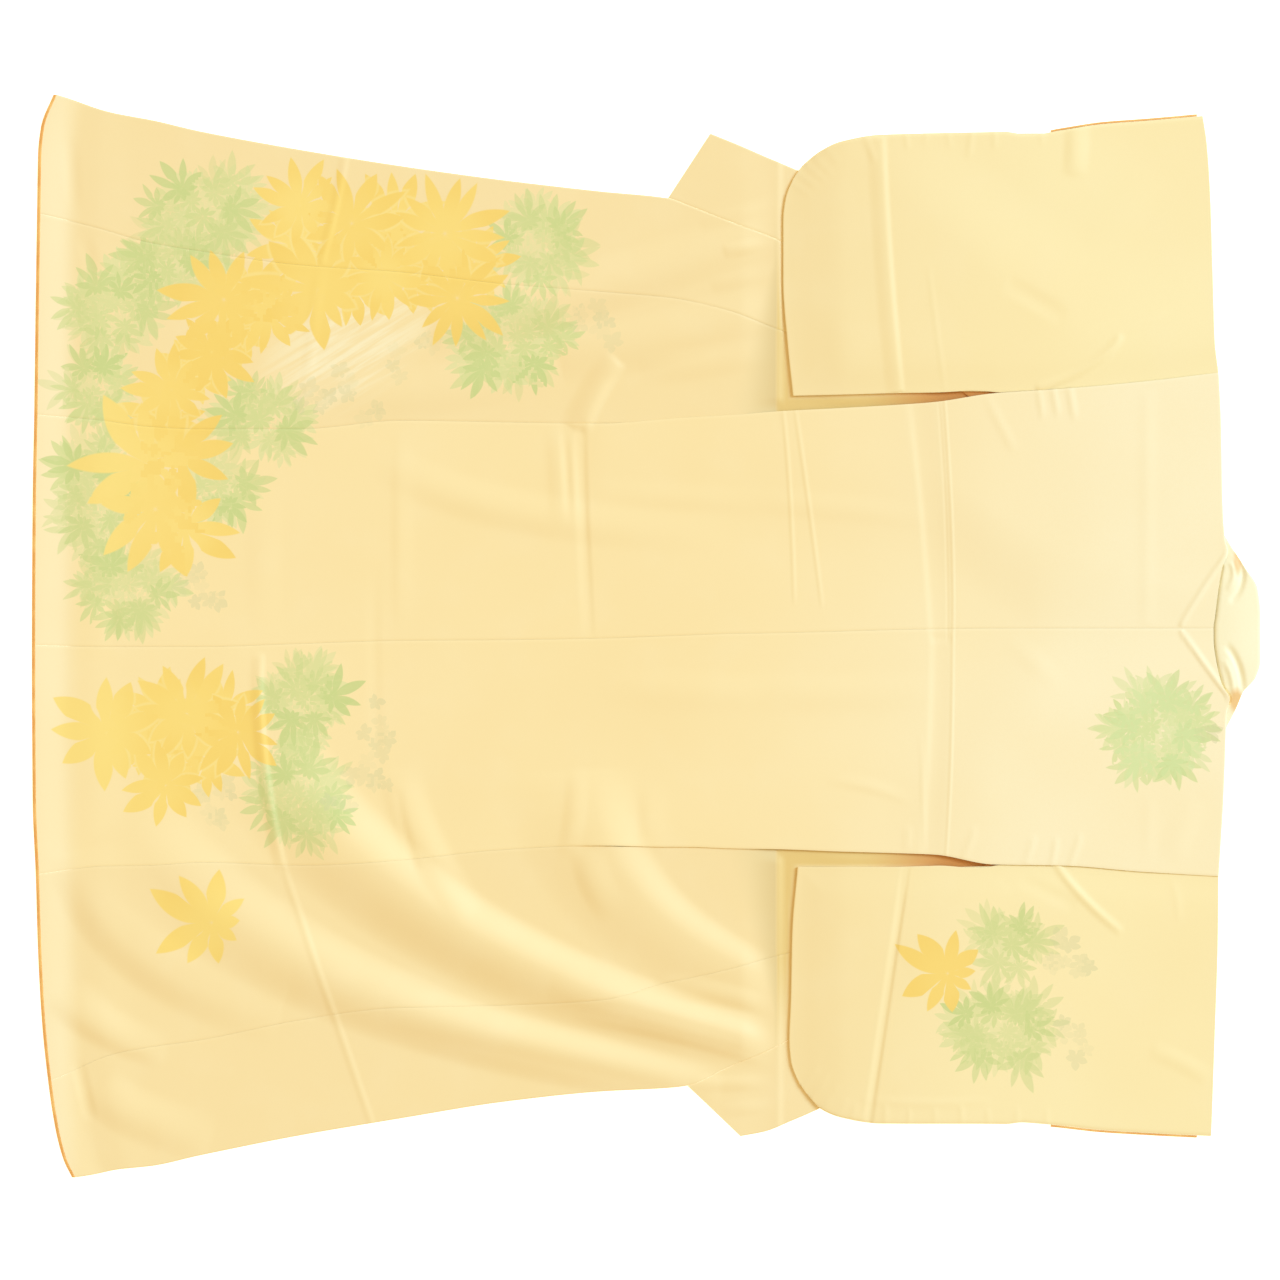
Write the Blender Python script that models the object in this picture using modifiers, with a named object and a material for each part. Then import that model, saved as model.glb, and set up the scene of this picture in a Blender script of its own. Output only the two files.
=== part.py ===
"""A lined silk visiting kimono, laid flat and seen from its back.

The hem is at -X, the shoulders at +X and the wearer's left at +Y, and the garment lies on z = 0.
The back panels meet at the centre seam. The fronts are opened outwards past the side seams, with the
overlap panels and the collar ends outside them. The sleeves lie on the fronts, and above the side
seams each front runs on under the sleeve and the back to the shoulder.
"""

import bisect
import math
import operator

import bmesh
import bpy

MM = 0.001

# Cloth and clearances
CLOTH = 1.5 * MM  # outer silk and lining together
SEAM = 0.3 * MM  # clearance between two pieces
STEP = 24 * MM  # distance between two rows of a panel
LAYER = CLOTH + SEAM  # height that one layer adds to what lies on it

# Main lines along the garment
HEM = -800 * MM
SHOULDER = 743 * MM
SIDE_SEAM_END = -60 * MM  # top of the sewn side seams
OKUMI_POINT = 15 * STEP  # upper end of the overlap panels
OPEN_HEM_BEND = 150 * MM  # length over which the curve of the hem fades out
SHOULDER_BEND = 120 * MM

# Lining that shows: the rolled hem and the sleeve openings
HEM_ROLL = 5 * MM
CUFF_ROLL = 3 * MM
CUFF_START = 525 * MM
CUFF_END = 715 * MM

# Sections across the garment, in mm: where each seam lies, from the wearer's left to the right
SECTION_COLUMNS = ("along", "edge_left", "okumi_left", "side_left", "centre",
                   "side_right", "okumi_right", "edge_right")
SECTIONS = (
    (-800, 703, 548, 287, -12, -309, -577, -703),
    (-710, 682, 528, 280, -14, -299, -546, -694),
    (-645, 671, 511, 272, -14, -298, -534, -689),
    (-580, 656, 500, 269, -14, -294, -525, -675),
    (-450, 632, 482, 269, -10, -298, -499, -649),
    (-320, 611, 473, 280, -6, -291, -482, -627),
    (-190, 593, 458, 278, -5, -278, -480, -606),
    (-60, 578, 447, 276, -3, -272, -472, -592),
    (28, 569, 440, 282, 0, -274, -450, -587),
    (53, 560, 436, 284, 1, -274, -445, -584),
    (109, 538, 422, 287, 3, -276, -432, -559),
    (172, 514, 398, 292, 4, -277, -415, -532),
    (250, 467, 373, 296, 6, -280, -398, -480),
    (320, 405, 351, 300, 8, -282, -372, -412),
    (375, 345, 334, 304, 9, -284, -340, -350),
    (450, 290, 325, 315, 10, -296.5, -325, -290),
    (540, 235, 322, 321, 10, -298, -316, -235),
    (642, 235, 330, 330, 10, -306, -306, -235),
    (743, 235, 341, 342, 10, -312, -311, -235),
)

# The lower end of the hem and the shoulder line, in mm: how far along it lies at each place across
HEM_LINE = ((703, -771), (662, -787), (625, -791), (567, -792), (437, -794), (287, -796), (177, -798),
            (-12, -799), (-213, -798), (-309, -794), (-408, -791), (-499, -786), (-577, -778),
            (-642, -768), (-680, -758), (-703, -747))
SHOULDER_LINE = ((342, 743), (281, 746), (177, 748), (125, 751), (109, 755), (92, 748), (60, 742),
                 (27, 738), (10, 736), (-5, 736), (-31, 739), (-64, 747), (-82, 757), (-99, 753),
                 (-135, 752), (-213, 749), (-312, 743))

# The inner edge of each front where it runs under the back, in mm: along, across
UNDER_EDGE = ((-60, 276), (0, 272), (115, 273), (172, 277), (265, 268), (369, 235), (460, 177),
              (518, 144), (748, 109))
# Where the back starts to rise over the layers under it, in mm: along, across
RISE_EDGE = ((-200, 262), (-50, 255), (172, 255), (265, 245), (369, 215), (460, 160), (518, 125),
             (620, 90), (700, 65), (760, 60))
RISE_WIDTH = 45 * MM

# Width of the slit between back and sleeve below the sewn armhole, in mm: along, left, right
SLIT = ((190, 19, 23), (265, 17, 20), (330, 15, 18), (408, 9.3, 11), (440, 4, 5),
        (462, 0.5, 0.6), (570, 0.3, 0.3), (745, 0.3, 0.3))

# Outline of the sleeves, in mm: from the inner edge round the lower corner to the shoulder fold
SLEEVES = {
    "left": {
        "foot": ((190, 312), (183, 378), (177, 463), (177, 541), (180, 567), (190, 593), (203, 612)),
        "outer": ((203, 612), (226, 630), (252, 642), (304, 651), (460, 655), (512, 656), (538, 660),
                  (590, 668), (655, 673), (723, 679)),
        "fold": ((743, 342), (738, 385), (736, 463), (733, 567), (729, 632), (723, 679)),
    },
    "right": {
        "foot": ((196, -300), (189, -382), (187, -473), (185, -525), (187, -551), (196, -577), (208, -595)),
        "outer": ((208, -595), (226, -614), (252, -625), (304, -633), (460, -634), (525, -638),
                  (590, -645), (655, -649), (734, -653)),
        "fold": ((743, -312), (742, -408), (738, -538), (734, -653)),
    },
}
# How far out the sleeves lie on the layers under them, in mm: along, left, right
BEARING = ((170, 665, 672), (223, 640, 648), (302, 592, 604), (395, 514, 526), (498, 424, 434),
           (605, 372, 362), (750, 376, 350))
BEARING_WIDTH = 60 * MM

# Where a piece climbs from one layer to the next: the start of the climb and its length
BACK_ON_FRONT = (-120 * MM, 70 * MM)
BACK_ON_COLLAR = (340 * MM, 70 * MM)
FRONT_TO_SHOULDER = (700 * MM, 43 * MM)
FRONT_FROM_NECK = (190 * MM, 30 * MM)  # across
COLLAR_ON_FRONT = (240 * MM, 60 * MM)
SLEEVE_ON_COLLAR = (200 * MM, 60 * MM)
SEAM_OPENS = 60 * MM  # length over which a front leaves the side seam for its edge under the back
SLEEVE_OPENS = (CUFF_START - 60 * MM, 25 * MM)  # where the sleeve's edge steps in beside its rolled lining
SLEEVE_RIM = (0.9, 0.1)  # share across the sleeve where that step starts, and its width

# Rows and columns of the grids
BACK_ACROSS, FRONT_ACROSS, OVERLAP_ACROSS, COLLAR_ACROSS = 12, 10, 8, 4
SLEEVE_ALONG, SLEEVE_ACROSS = 18, 13
NECK_ALONG, NECK_LAYER, NECK_TURN = 42, 3, 3
HEM_ACROSS = 100

# Free edge of the collar's flat ends, in mm: along the seam, then the point of the edge beside it
COLLAR_EDGE = {
    "left": ((28, 83, 653), (70, 120, 638), (109, 150, 625), (172, 208, 600), (250, 300, 552),
             (330, 395, 475), (430, 498, 386), (540, 605, 316)),
    "right": ((53, 122, -650), (96, 154, -644), (135, 187, -631), (172, 223, -615), (250, 302, -566),
              (330, 395, -488), (430, 498, -396), (540, 605, -318)),
}
# Sections of the collar folded in half round the back of the neck, in mm
NECK_SWELL = 0.75  # share of a half turn that the roll's opening goes through, from seam to fold
NECK_COLUMNS = ("seam_x", "seam_y", "fold_x", "fold_y", "base", "puff")
NECK_SECTIONS = (
    (540.5, 234.6, 576, 279, 1.8, 0.3),
    (640, 160, 678, 203, 1.8, 0.3),
    (700, 116, 739, 150, 1.8, 0.3),
    (731, 98, 763, 113, 1.8, 0.3),
    (750, 84, 778, 90, 1.6, 1.2),
    (744, 61, 795, 62, 0.6, 3.5),
    (739, 26, 798.9, 28, 0, 5),
    (737, 2, 798.9, 3, 0, 5),
    (741, -31, 798.9, -30, 0, 5),
    (749, -56, 793, -53, 0.6, 3.5),
    (760, -78, 776, -73, 1.6, 1.2),
    (736, -88, 767, -94, 1.8, 0.3),
    (700, -110, 739, -144, 1.8, 0.3),
    (640, -158, 678, -201, 1.8, 0.3),
    (540.5, -234.6, 576, -279, 1.8, 0.3),
)

# Soft folds in the opened fronts, in mm: a curved ridge from one place by a second towards a third, its
# width to the left and to the right, the share of the width left at its end, and its height
FOLD_COLUMNS = ("from_x", "from_y", "by_x", "by_y", "to_x", "to_y", "left", "right", "taper", "height")
FOLDS = (
    (-463, -142, -314, -432, 213, -536, 90, 100, 0.3, 13),  # long ridge of the right back and front
    (-684, -233, -479, -497, 96, -590, 80, 85, 0.35, 9.5),  # broad ridge of the right front
    (-340, -481, -138, -520, 96, -585, 34, 34, 0.7, 3.5),  # its end along the right overlap
    (-73, -174, -71, -385, 252, -476, 64, 125, 0.4, 8),  # rise below the right underarm
    (-125, -454, 44, -493, 200, -545, 30, 26, 0.7, 3.5),  # narrow ridge towards the right collar end
    (-739, -278, -713, -432, -476, -494, 85, 44, 1, 5.5),  # low ridge behind the hem
    (-760, -463, -730, -512, -626, -546, 44, 30, 0.7, 3.6),  # two at the hem of the right overlap
    (-717, -584, -684, -629, -567, -655, 40, 34, 1, 3.4),
    (-327, -174, -301, -278, -229, -363, 36, 30, 0.8, 3.2),  # short ridge beside the long one
    (-281, 391, -34, 450, 180, 538, 48, 45, 0.8, 6),  # two waves of the left front
    (-112, 356, 57, 391, 180, 442, 38, 40, 1, 5),
)
FOLD_STOP = (120 * MM, 52 * MM)  # where the folds start to die out before the sleeves, and how fast
FOLD_PARTS = 20  # straight parts that stand for the curve of a ridge

COLOURS = {
    "silk": ((0.93, 0.83, 0.58), 0.55),
    "overlap": ((0.92, 0.82, 0.55), 0.55),
    "collar": ((0.94, 0.86, 0.64), 0.5),
    "sleeve": ((0.93, 0.84, 0.60), 0.55),
    "lining": ((0.85, 0.42, 0.16), 0.6),
}


def ease(value):
    """0 below 0, 1 above 1, and a smooth step between."""
    value = min(max(value, 0.0), 1.0)
    return value * value * (3 - 2 * value)


def smooth_line(keys, values):
    """A curve through the given points that never overshoots them."""
    spans = [b - a for a, b in zip(keys, keys[1:])]
    slopes = [(b - a) / s for a, b, s in zip(values, values[1:], spans)]
    tangents = [slopes[0]]
    for before, after in zip(slopes, slopes[1:]):
        tangents.append(2 * before * after / (before + after) if before * after > 0 else 0.0)
    tangents.append(slopes[-1])

    def at(key):
        key = min(max(key, keys[0]), keys[-1])
        i = min(bisect.bisect_right(keys, key) - 1, len(spans) - 1)
        t = (key - keys[i]) / spans[i]
        hold = (1 + 2 * t) * (1 - t) ** 2 * values[i] + t * t * (3 - 2 * t) * values[i + 1]
        turn = t * (1 - t) ** 2 * tangents[i] - t * t * (1 - t) * tangents[i + 1]
        return hold + turn * spans[i]

    return at


def table_line(rows, column=1):
    """The curve of one column of a table in mm over its first column."""
    ordered = sorted(rows)
    return smooth_line([row[0] * MM for row in ordered], [row[column] * MM for row in ordered])


def outline(points):
    """A curve through points in mm, from t = 0 to t = 1 by the length walked."""
    walked = [0.0]
    for a, b in zip(points, points[1:]):
        walked.append(walked[-1] + math.dist(a, b))
    keys = [w / walked[-1] for w in walked]
    x_at = smooth_line(keys, [p[0] * MM for p in points])
    y_at = smooth_line(keys, [p[1] * MM for p in points])
    return lambda t: (x_at(t), y_at(t))


SEAMS = {name: table_line(SECTIONS, i) for i, name in enumerate(SECTION_COLUMNS) if i}
hem_line = table_line(HEM_LINE)
shoulder_line = table_line(SHOULDER_LINE)
under_edge = table_line(UNDER_EDGE)
rise_edge = table_line(RISE_EDGE)
slit = {"left": table_line(SLIT, 1), "right": table_line(SLIT, 2)}
bearing = {"left": table_line(BEARING, 1), "right": table_line(BEARING, 2)}
SIGN = {"left": 1, "right": -1}


def climb(value, span):
    """0 before a climb's start, 1 after its length."""
    start, length = span
    return ease((value - start) / length)


def ridge_lines():
    """Each fold's row, with the points of its curve."""
    ridges = []
    for row in FOLDS:
        fold = dict(zip(FOLD_COLUMNS, row))
        points = []
        for i in range(FOLD_PARTS + 1):
            t = i / FOLD_PARTS
            weights = (1 - t) ** 2, 2 * t * (1 - t), t * t
            points.append(tuple(
                MM * sum(w * fold[place + axis] for w, place in zip(weights, ("from", "by", "to")))
                for axis in ("_x", "_y")))
        ridges.append((fold, points))
    return ridges


RIDGES = ridge_lines()


def nearest_on(points, x, y):
    """Place along a curve, from 0 to 1, and distance aside, positive to the left."""
    best = None
    for i, ((ax, ay), (bx, by)) in enumerate(zip(points, points[1:])):
        run_x, run_y = bx - ax, by - ay
        length = math.hypot(run_x, run_y)
        share = min(max(((x - ax) * run_x + (y - ay) * run_y) / length**2, 0), 1)
        away = math.hypot(x - ax - run_x * share, y - ay - run_y * share)
        if best is None or away < best[0]:
            side = 1 if (y - ay) * run_x > (x - ax) * run_y else -1
            best = away, (i + share) / (len(points) - 1), side * away
    return best[1:]


def fold_lift(x, y):
    """Height of the soft folds above the surface that the cloth lies on."""
    lift = 0.0
    for fold, points in RIDGES:
        along, aside = nearest_on(points, x, y)
        width = fold["left"] if aside > 0 else fold["right"]
        offset = aside / (width * MM * (1 - (1 - fold["taper"]) * along))
        if abs(offset) < 1:
            lift += fold["height"] * MM * (1 - offset * offset) ** 2 * (4 * along * (1 - along)) ** 0.8
    return lift * (1 - climb(x, FOLD_STOP))


def back_base(x, y):
    """Underside of the back: on the floor inside, on the fronts and the collar outside."""
    layers = climb(x, BACK_ON_FRONT) + 2 * climb(x, BACK_ON_COLLAR)
    return layers * LAYER * climb(abs(y) + RISE_WIDTH, (rise_edge(x), RISE_WIDTH)) + fold_lift(x, y)


def front_base(x, y):
    """Underside of a front: on the floor, and up to the back's edge at the shoulder."""
    shoulder = climb(x, FRONT_TO_SHOULDER) * climb(abs(y), FRONT_FROM_NECK)
    return 2 * LAYER * shoulder + fold_lift(x, y)


def collar_base(x, y):
    """Underside of a collar end: on the floor, then on the front under the sleeve."""
    return LAYER * climb(x, COLLAR_ON_FRONT) + fold_lift(x, y)


def sleeve_base(side):
    """Underside of a sleeve: on the front and the collar, and down to the floor outside them."""
    def base(x, y):
        height = LAYER + LAYER * climb(x, SLEEVE_ON_COLLAR)
        return height * (1 - climb(abs(y), (bearing[side](x), BEARING_WIDTH)))
    return base


def stations(start, end, kept=()):
    """Places along the garment about a row apart, the same for the panels that share a seam."""
    first, last = math.floor(start / STEP), math.ceil(end / STEP)
    even = [i * STEP for i in range(first, last + 1) if start + STEP / 3 < i * STEP < end - STEP / 3]
    even = [x for x in even if all(abs(x - k) > STEP / 3 for k in kept)]
    return sorted([start, end, *even, *kept])


def bend_ends(x, y):
    """Moves a point of a straight row onto the curve of the hem and of the shoulder line."""
    to_hem = 1 - ease((x - HEM) / OPEN_HEM_BEND)
    to_shoulder = ease((x - SHOULDER) / SHOULDER_BEND + 1)
    hem_shift = hem_line(y) + HEM_ROLL + SEAM - HEM
    return x + to_hem * hem_shift + to_shoulder * (shoulder_line(y) - SHOULDER)


def material(name):
    """The plain finish of a kind of cloth, made once."""
    found = bpy.data.materials.get(name)
    if found:
        return found
    colour, roughness = COLOURS[name]
    made = bpy.data.materials.new(name)
    made.use_nodes = True
    shader = made.node_tree.nodes["Principled BSDF"]
    shader.inputs["Base Color"].default_value = (*colour, 1)
    shader.inputs["Roughness"].default_value = roughness
    shader.inputs["Metallic"].default_value = 0
    made.diffuse_color = (*colour, 1)
    return made


def finish(name, mesh_data, cloth):
    """Adds the finished mesh to the garment's collection as a named object."""
    mesh = bpy.data.meshes.new(name)
    mesh_data.to_mesh(mesh)
    mesh_data.free()
    mesh.shade_smooth()
    mesh.set_sharp_from_angle(angle=math.radians(50))
    mesh.materials.append(material(cloth))
    piece = bpy.data.objects.new(name, mesh)
    garment.objects.link(piece)
    return piece


def flat_grid(rows, columns, place):
    """A grid of the given rows and columns whose vertices are put where place(row, column) says."""
    grid = bmesh.new()
    bmesh.ops.create_grid(grid, x_segments=rows, y_segments=columns, size=1)
    for vertex in grid.verts:
        row = round((vertex.co.x + 1) / 2 * rows)
        column = round((vertex.co.y + 1) / 2 * columns)
        vertex.co = place(row, column)
    return grid


def cloth_wall(grid):
    """Thickens an open grid straight up into a closed wall, so that seams stay parallel."""
    grown = bmesh.ops.extrude_face_region(grid, geom=grid.faces[:])
    raised = [item for item in grown["geom"] if isinstance(item, bmesh.types.BMVert)]
    bmesh.ops.translate(grid, vec=(0, 0, CLOTH), verts=raised)
    bmesh.ops.recalc_face_normals(grid, faces=grid.faces[:])


def panel(name, cloth, rows, columns, inner, outer, base, bend=bend_ends):
    """A cloth panel between two edges, each given as a curve along the garment."""
    def place(row, column):
        x = rows[row]
        share = column / columns
        y = inner(x) * (1 - share) + outer(x) * share
        x = bend(x, y)
        return x, y, base(x, y)

    grid = flat_grid(len(rows) - 1, columns, place)
    cloth_wall(grid)
    return finish(name, grid, cloth)


def offset_line(line, distance):
    """A curve moved sideways by a distance."""
    return lambda x: line(x) + distance


def make_back(side):
    """Back panel from the centre seam to the side seam, with the shoulder and half the neckline."""
    sign = SIGN[side]
    panel("back_" + side, "silk", stations(HEM, SHOULDER), BACK_ACROSS,
          offset_line(SEAMS["centre"], sign * SEAM / 2),
          offset_line(SEAMS["side_" + side], -sign * SEAM / 2), back_base)


def make_front(side):
    """Front panel from the side seam to the overlap seam, and on under the back to the shoulder."""
    sign = SIGN[side]
    sewn = SEAMS["side_" + side]

    def inner(x):
        free = climb(x, (SIDE_SEAM_END, SEAM_OPENS))
        return (sewn(x) + sign * SEAM / 2) * (1 - free) + sign * under_edge(x) * free

    panel("front_" + side, "silk", stations(HEM, SHOULDER), FRONT_ACROSS,
          inner, offset_line(SEAMS["okumi_" + side], -sign * SEAM / 2), front_base)


def make_overlap(side):
    """Overlap panel (okumi) from the hem to its point beside the collar."""
    sign = SIGN[side]
    kept = (COLLAR_EDGE[side][0][0] * MM,)
    panel("okumi_" + side, "overlap", stations(HEM, OKUMI_POINT, kept), OVERLAP_ACROSS,
          offset_line(SEAMS["okumi_" + side], sign * SEAM / 2),
          offset_line(SEAMS["edge_" + side], -sign * SEAM / 2), front_base)


def make_collar_end(side):
    """Flat end of the collar, from the free end to below the back."""
    sign = SIGN[side]
    start, end = COLLAR_EDGE[side][0][0] * MM, COLLAR_EDGE[side][-1][0] * MM
    rows = stations(start, end)
    seam = SEAMS["edge_" + side]
    free_x, free_y = table_line(COLLAR_EDGE[side], 1), table_line(COLLAR_EDGE[side], 2)

    def place(row, column):
        along = rows[row]
        share = column / COLLAR_ACROSS
        x = along * (1 - share) + free_x(along) * share
        y = (seam(along) + sign * SEAM / 2) * (1 - share) + free_y(along) * share
        return x, y, collar_base(x, y)

    grid = flat_grid(len(rows) - 1, COLLAR_ACROSS, place)
    cloth_wall(grid)
    finish("collar_" + side, grid, "collar")


def folded_section(layers, turn):
    """Steps round a doubled cloth: (share across, place in the turn), under layer first."""
    under = [(i / layers, 0.0) for i in range(layers + 1)]
    bend = [(1.0, i / (turn + 1)) for i in range(1, turn + 1)]
    over = [(i / layers, 1.0) for i in range(layers, -1, -1)]
    return under + bend + over


def make_neck_collar():
    """Collar folded in half round the back of the neck, its fold on the outside."""
    keys = list(range(len(NECK_SECTIONS)))
    lines = {name: smooth_line(keys, [row[i] * MM for row in NECK_SECTIONS])
             for i, name in enumerate(NECK_COLUMNS)}
    section = folded_section(NECK_LAYER, NECK_TURN)

    def place(row, column):
        at = {name: line(row / NECK_ALONG * keys[-1]) for name, line in lines.items()}
        share, turned = section[column]
        wide_x, wide_y = at["fold_x"] - at["seam_x"], at["fold_y"] - at["seam_y"]
        width = math.hypot(wide_x, wide_y)
        swell = math.sin(math.pi * share * NECK_SWELL)
        spread = max(SEAM + (at["puff"] - SEAM) * swell, SEAM)
        radius = (CLOTH + spread) / 2
        reach = share * (width - radius - CLOTH / 2) + radius * math.sin(math.pi * turned)
        centre = at["base"] + CLOTH / 2 + radius
        return (at["seam_x"] + wide_x / width * reach, at["seam_y"] + wide_y / width * reach,
                centre - radius * math.cos(math.pi * turned))

    grid = flat_grid(NECK_ALONG, len(section) - 1, place)
    bmesh.ops.recalc_face_normals(grid, faces=grid.faces[:])
    piece = finish("collar_neck", grid, "collar")
    thicken(piece)


def thicken(piece):
    """Gives a doubled cloth its wall, half to each side of the surface."""
    wall = piece.modifiers.new("wall", "SOLIDIFY")
    wall.thickness = CLOTH
    wall.offset = 0
    wall.use_even_offset = True


def sleeve_surface(side):
    """Where a sleeve lies: a patch between its foot, outer edge, shoulder fold and inner edge."""
    sign = SIGN[side]
    foot, outer, fold = (outline(SLEEVES[side][edge]) for edge in ("foot", "outer", "fold"))
    body_edge = SEAMS["side_" + side]
    inner_start, inner_end = foot(0)[0], fold(0)[0]

    def inner(u):
        x = inner_start + (inner_end - inner_start) * u
        return x, body_edge(x) + sign * (slit[side](x) + SEAM / 2)

    def at(u, v):
        corners = (inner(0), inner(1), outer(0), outer(1))
        point = []
        for axis in (0, 1):
            across = (1 - v) * inner(u)[axis] + v * outer(u)[axis]
            along = (1 - u) * foot(v)[axis] + u * fold(v)[axis]
            tilt = ((1 - u) * (1 - v) * corners[0][axis] + u * (1 - v) * corners[1][axis]
                    + (1 - u) * v * corners[2][axis] + u * v * corners[3][axis])
            point.append(across + along - tilt)
        at_opening = climb(point[0], SLEEVE_OPENS) * climb(v, SLEEVE_RIM)
        return point[0], point[1] - sign * (CUFF_ROLL + SEAM) * at_opening

    return at


def make_sleeve(side):
    """Sleeve as a flat bag: one cloth folded at the shoulder and closed along its foot."""
    at = sleeve_surface(side)
    base = sleeve_base(side)
    ring = [(i / SLEEVE_ALONG, 0) for i in range(SLEEVE_ALONG + 1)]
    ring += [(1 - i / SLEEVE_ALONG, 1) for i in range(SLEEVE_ALONG + 1)]
    ring.append(ring[0])

    def skin(inset, under, over):
        def place(row, column):
            u, upper = ring[column]
            x, y = at(u, row / SLEEVE_ACROSS)
            return x + inset * (1 - 2 * u), y, base(x, y) + (over if upper else under)

        grid = flat_grid(SLEEVE_ACROSS, len(ring) - 1, place)
        bmesh.ops.remove_doubles(grid, verts=grid.verts[:], dist=0.01 * MM)
        return grid

    bag = skin(0, 0, 2 * CLOTH + SEAM)
    lining = bpy.data.meshes.new("hollow")
    hollow = skin(CLOTH, CLOTH, CLOTH + SEAM)
    hollow.to_mesh(lining)
    hollow.free()
    bag.from_mesh(lining)
    bpy.data.meshes.remove(lining)
    middle = sum(vertex.co.y for vertex in bag.verts) / len(bag.verts)
    for side_of in (operator.lt, operator.gt):
        rims = [edge for edge in bag.edges if edge.is_boundary and side_of(edge.verts[0].co.y, middle)]
        bmesh.ops.bridge_loops(bag, edges=rims)
    bmesh.ops.recalc_face_normals(bag, faces=bag.faces[:])
    finish("sleeve_" + side, bag, "sleeve")


def make_cuff_lining(side):
    """Rolled lining along the sleeve opening, on the under layer of the sleeve."""
    sign = SIGN[side]
    edge = table_line(SLEEVES[side]["outer"])
    rows = stations(CUFF_START, CUFF_END)
    panel("cuff_lining_" + side, "lining", rows, 1,
          offset_line(edge, -sign * CUFF_ROLL), edge, lambda x, y: 0.0, lambda x, y: x)


def make_hem_lining():
    """Rolled lining along the whole hem."""
    across = [row[0] * MM for row in HEM_LINE]

    def place(row, column):
        y = across[0] + (across[-1] - across[0]) * row / HEM_ACROSS
        x = hem_line(y) + column * HEM_ROLL
        return x, y, fold_lift(x, y)

    grid = flat_grid(HEM_ACROSS, 1, place)
    cloth_wall(grid)
    finish("hem_lining", grid, "lining")


for old in list(bpy.data.objects):
    bpy.data.objects.remove(old, do_unlink=True)
garment = bpy.data.collections.new("kimono")
bpy.context.scene.collection.children.link(garment)

for hand in ("left", "right"):
    make_back(hand)
    make_front(hand)
    make_overlap(hand)
    make_collar_end(hand)
    make_sleeve(hand)
    make_cuff_lining(hand)
make_neck_collar()
make_hem_lining()
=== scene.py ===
# %% [markdown]
# # A lined silk kimono, laid flat
#
# This is a visiting kimono of cream silk with an orange lining, seen from its back. The hem is at -X,
# the shoulders at +X and the wearer's left at +Y. Every cloth piece is a thin shell that lies where the
# imported solid of the same piece lies, with the pressed creases, seams and soft folds added one by one and
# the leaf pattern dyed on by its material. We start with the fixed frame and keep its box.

# %% The frame
import math

import bmesh
import bpy
import numpy as np
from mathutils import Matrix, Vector


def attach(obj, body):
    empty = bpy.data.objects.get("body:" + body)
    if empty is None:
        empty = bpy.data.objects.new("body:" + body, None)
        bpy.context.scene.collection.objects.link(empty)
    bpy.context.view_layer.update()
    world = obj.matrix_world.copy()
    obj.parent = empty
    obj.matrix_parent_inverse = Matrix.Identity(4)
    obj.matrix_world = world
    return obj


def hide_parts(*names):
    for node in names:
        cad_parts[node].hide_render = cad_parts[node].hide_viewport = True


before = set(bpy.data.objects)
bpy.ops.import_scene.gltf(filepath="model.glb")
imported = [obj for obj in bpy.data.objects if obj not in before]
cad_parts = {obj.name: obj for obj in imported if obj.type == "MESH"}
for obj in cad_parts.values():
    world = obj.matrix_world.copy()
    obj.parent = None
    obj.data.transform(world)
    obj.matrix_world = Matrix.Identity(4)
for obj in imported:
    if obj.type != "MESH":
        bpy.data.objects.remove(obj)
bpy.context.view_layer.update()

# %% [markdown]
# ## Camera
#
# The garment was photographed square on, so the camera looks straight down and its frame has no
# perspective to speak of. A long lens from well above does that. One pixel of the 1280 pixel frame is
# 1.3 mm of cloth, and the frame's middle is a little left of and below the middle of the garment.

# %% Camera
PIXEL = 0.0013
FRAME_SIDE = 1280 * PIXEL
VIEW_MIDDLE = (-0.0085, -0.0052)
LENS, SENSOR = 100.0, 36.0

camera = bpy.data.cameras.new("camera")
camera.lens, camera.sensor_width = LENS, SENSOR
camera_stand = bpy.data.objects.new("camera", camera)
camera_stand.location = (*VIEW_MIDDLE, FRAME_SIDE * LENS / SENSOR)
camera.clip_end = 100
bpy.context.scene.collection.objects.link(camera_stand)
bpy.context.scene.camera = camera_stand
print("camera", round(camera_stand.location.z, 3), "m above the floor")

# %% [markdown]
# ## Shared sizes
#
# The cloth panels were cut on straight lines and only a few numbers place them: where each seam lies in
# a section across the garment, the curve of the hem and the shoulder, and the outline of the sleeves.
# They are the sizes of the solids, in millimetres, so each new piece ends where its solid ends.

# %% Shared sizes
MM = 0.001
CLOTH = 1.5 * MM
SEAM = 0.3 * MM
LAYER = CLOTH + SEAM
SHELL = 0.95 * MM  # wall of the visible cloth, inside the solid's wall
HEM, SHOULDER = -800 * MM, 743 * MM
SIDE_SEAM_END = -60 * MM
SHADE_FROM = 171 * MM  # along, from where the fronts lie in the shade of the sleeves
OKUMI_POINT = 360 * MM
OPEN_HEM_BEND, SHOULDER_BEND = 150 * MM, 120 * MM
HEM_ROLL, CUFF_ROLL = 5 * MM, 3 * MM
CUFF_START, CUFF_END = 525 * MM, 715 * MM
SIGN = {"left": 1, "right": -1}

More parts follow.
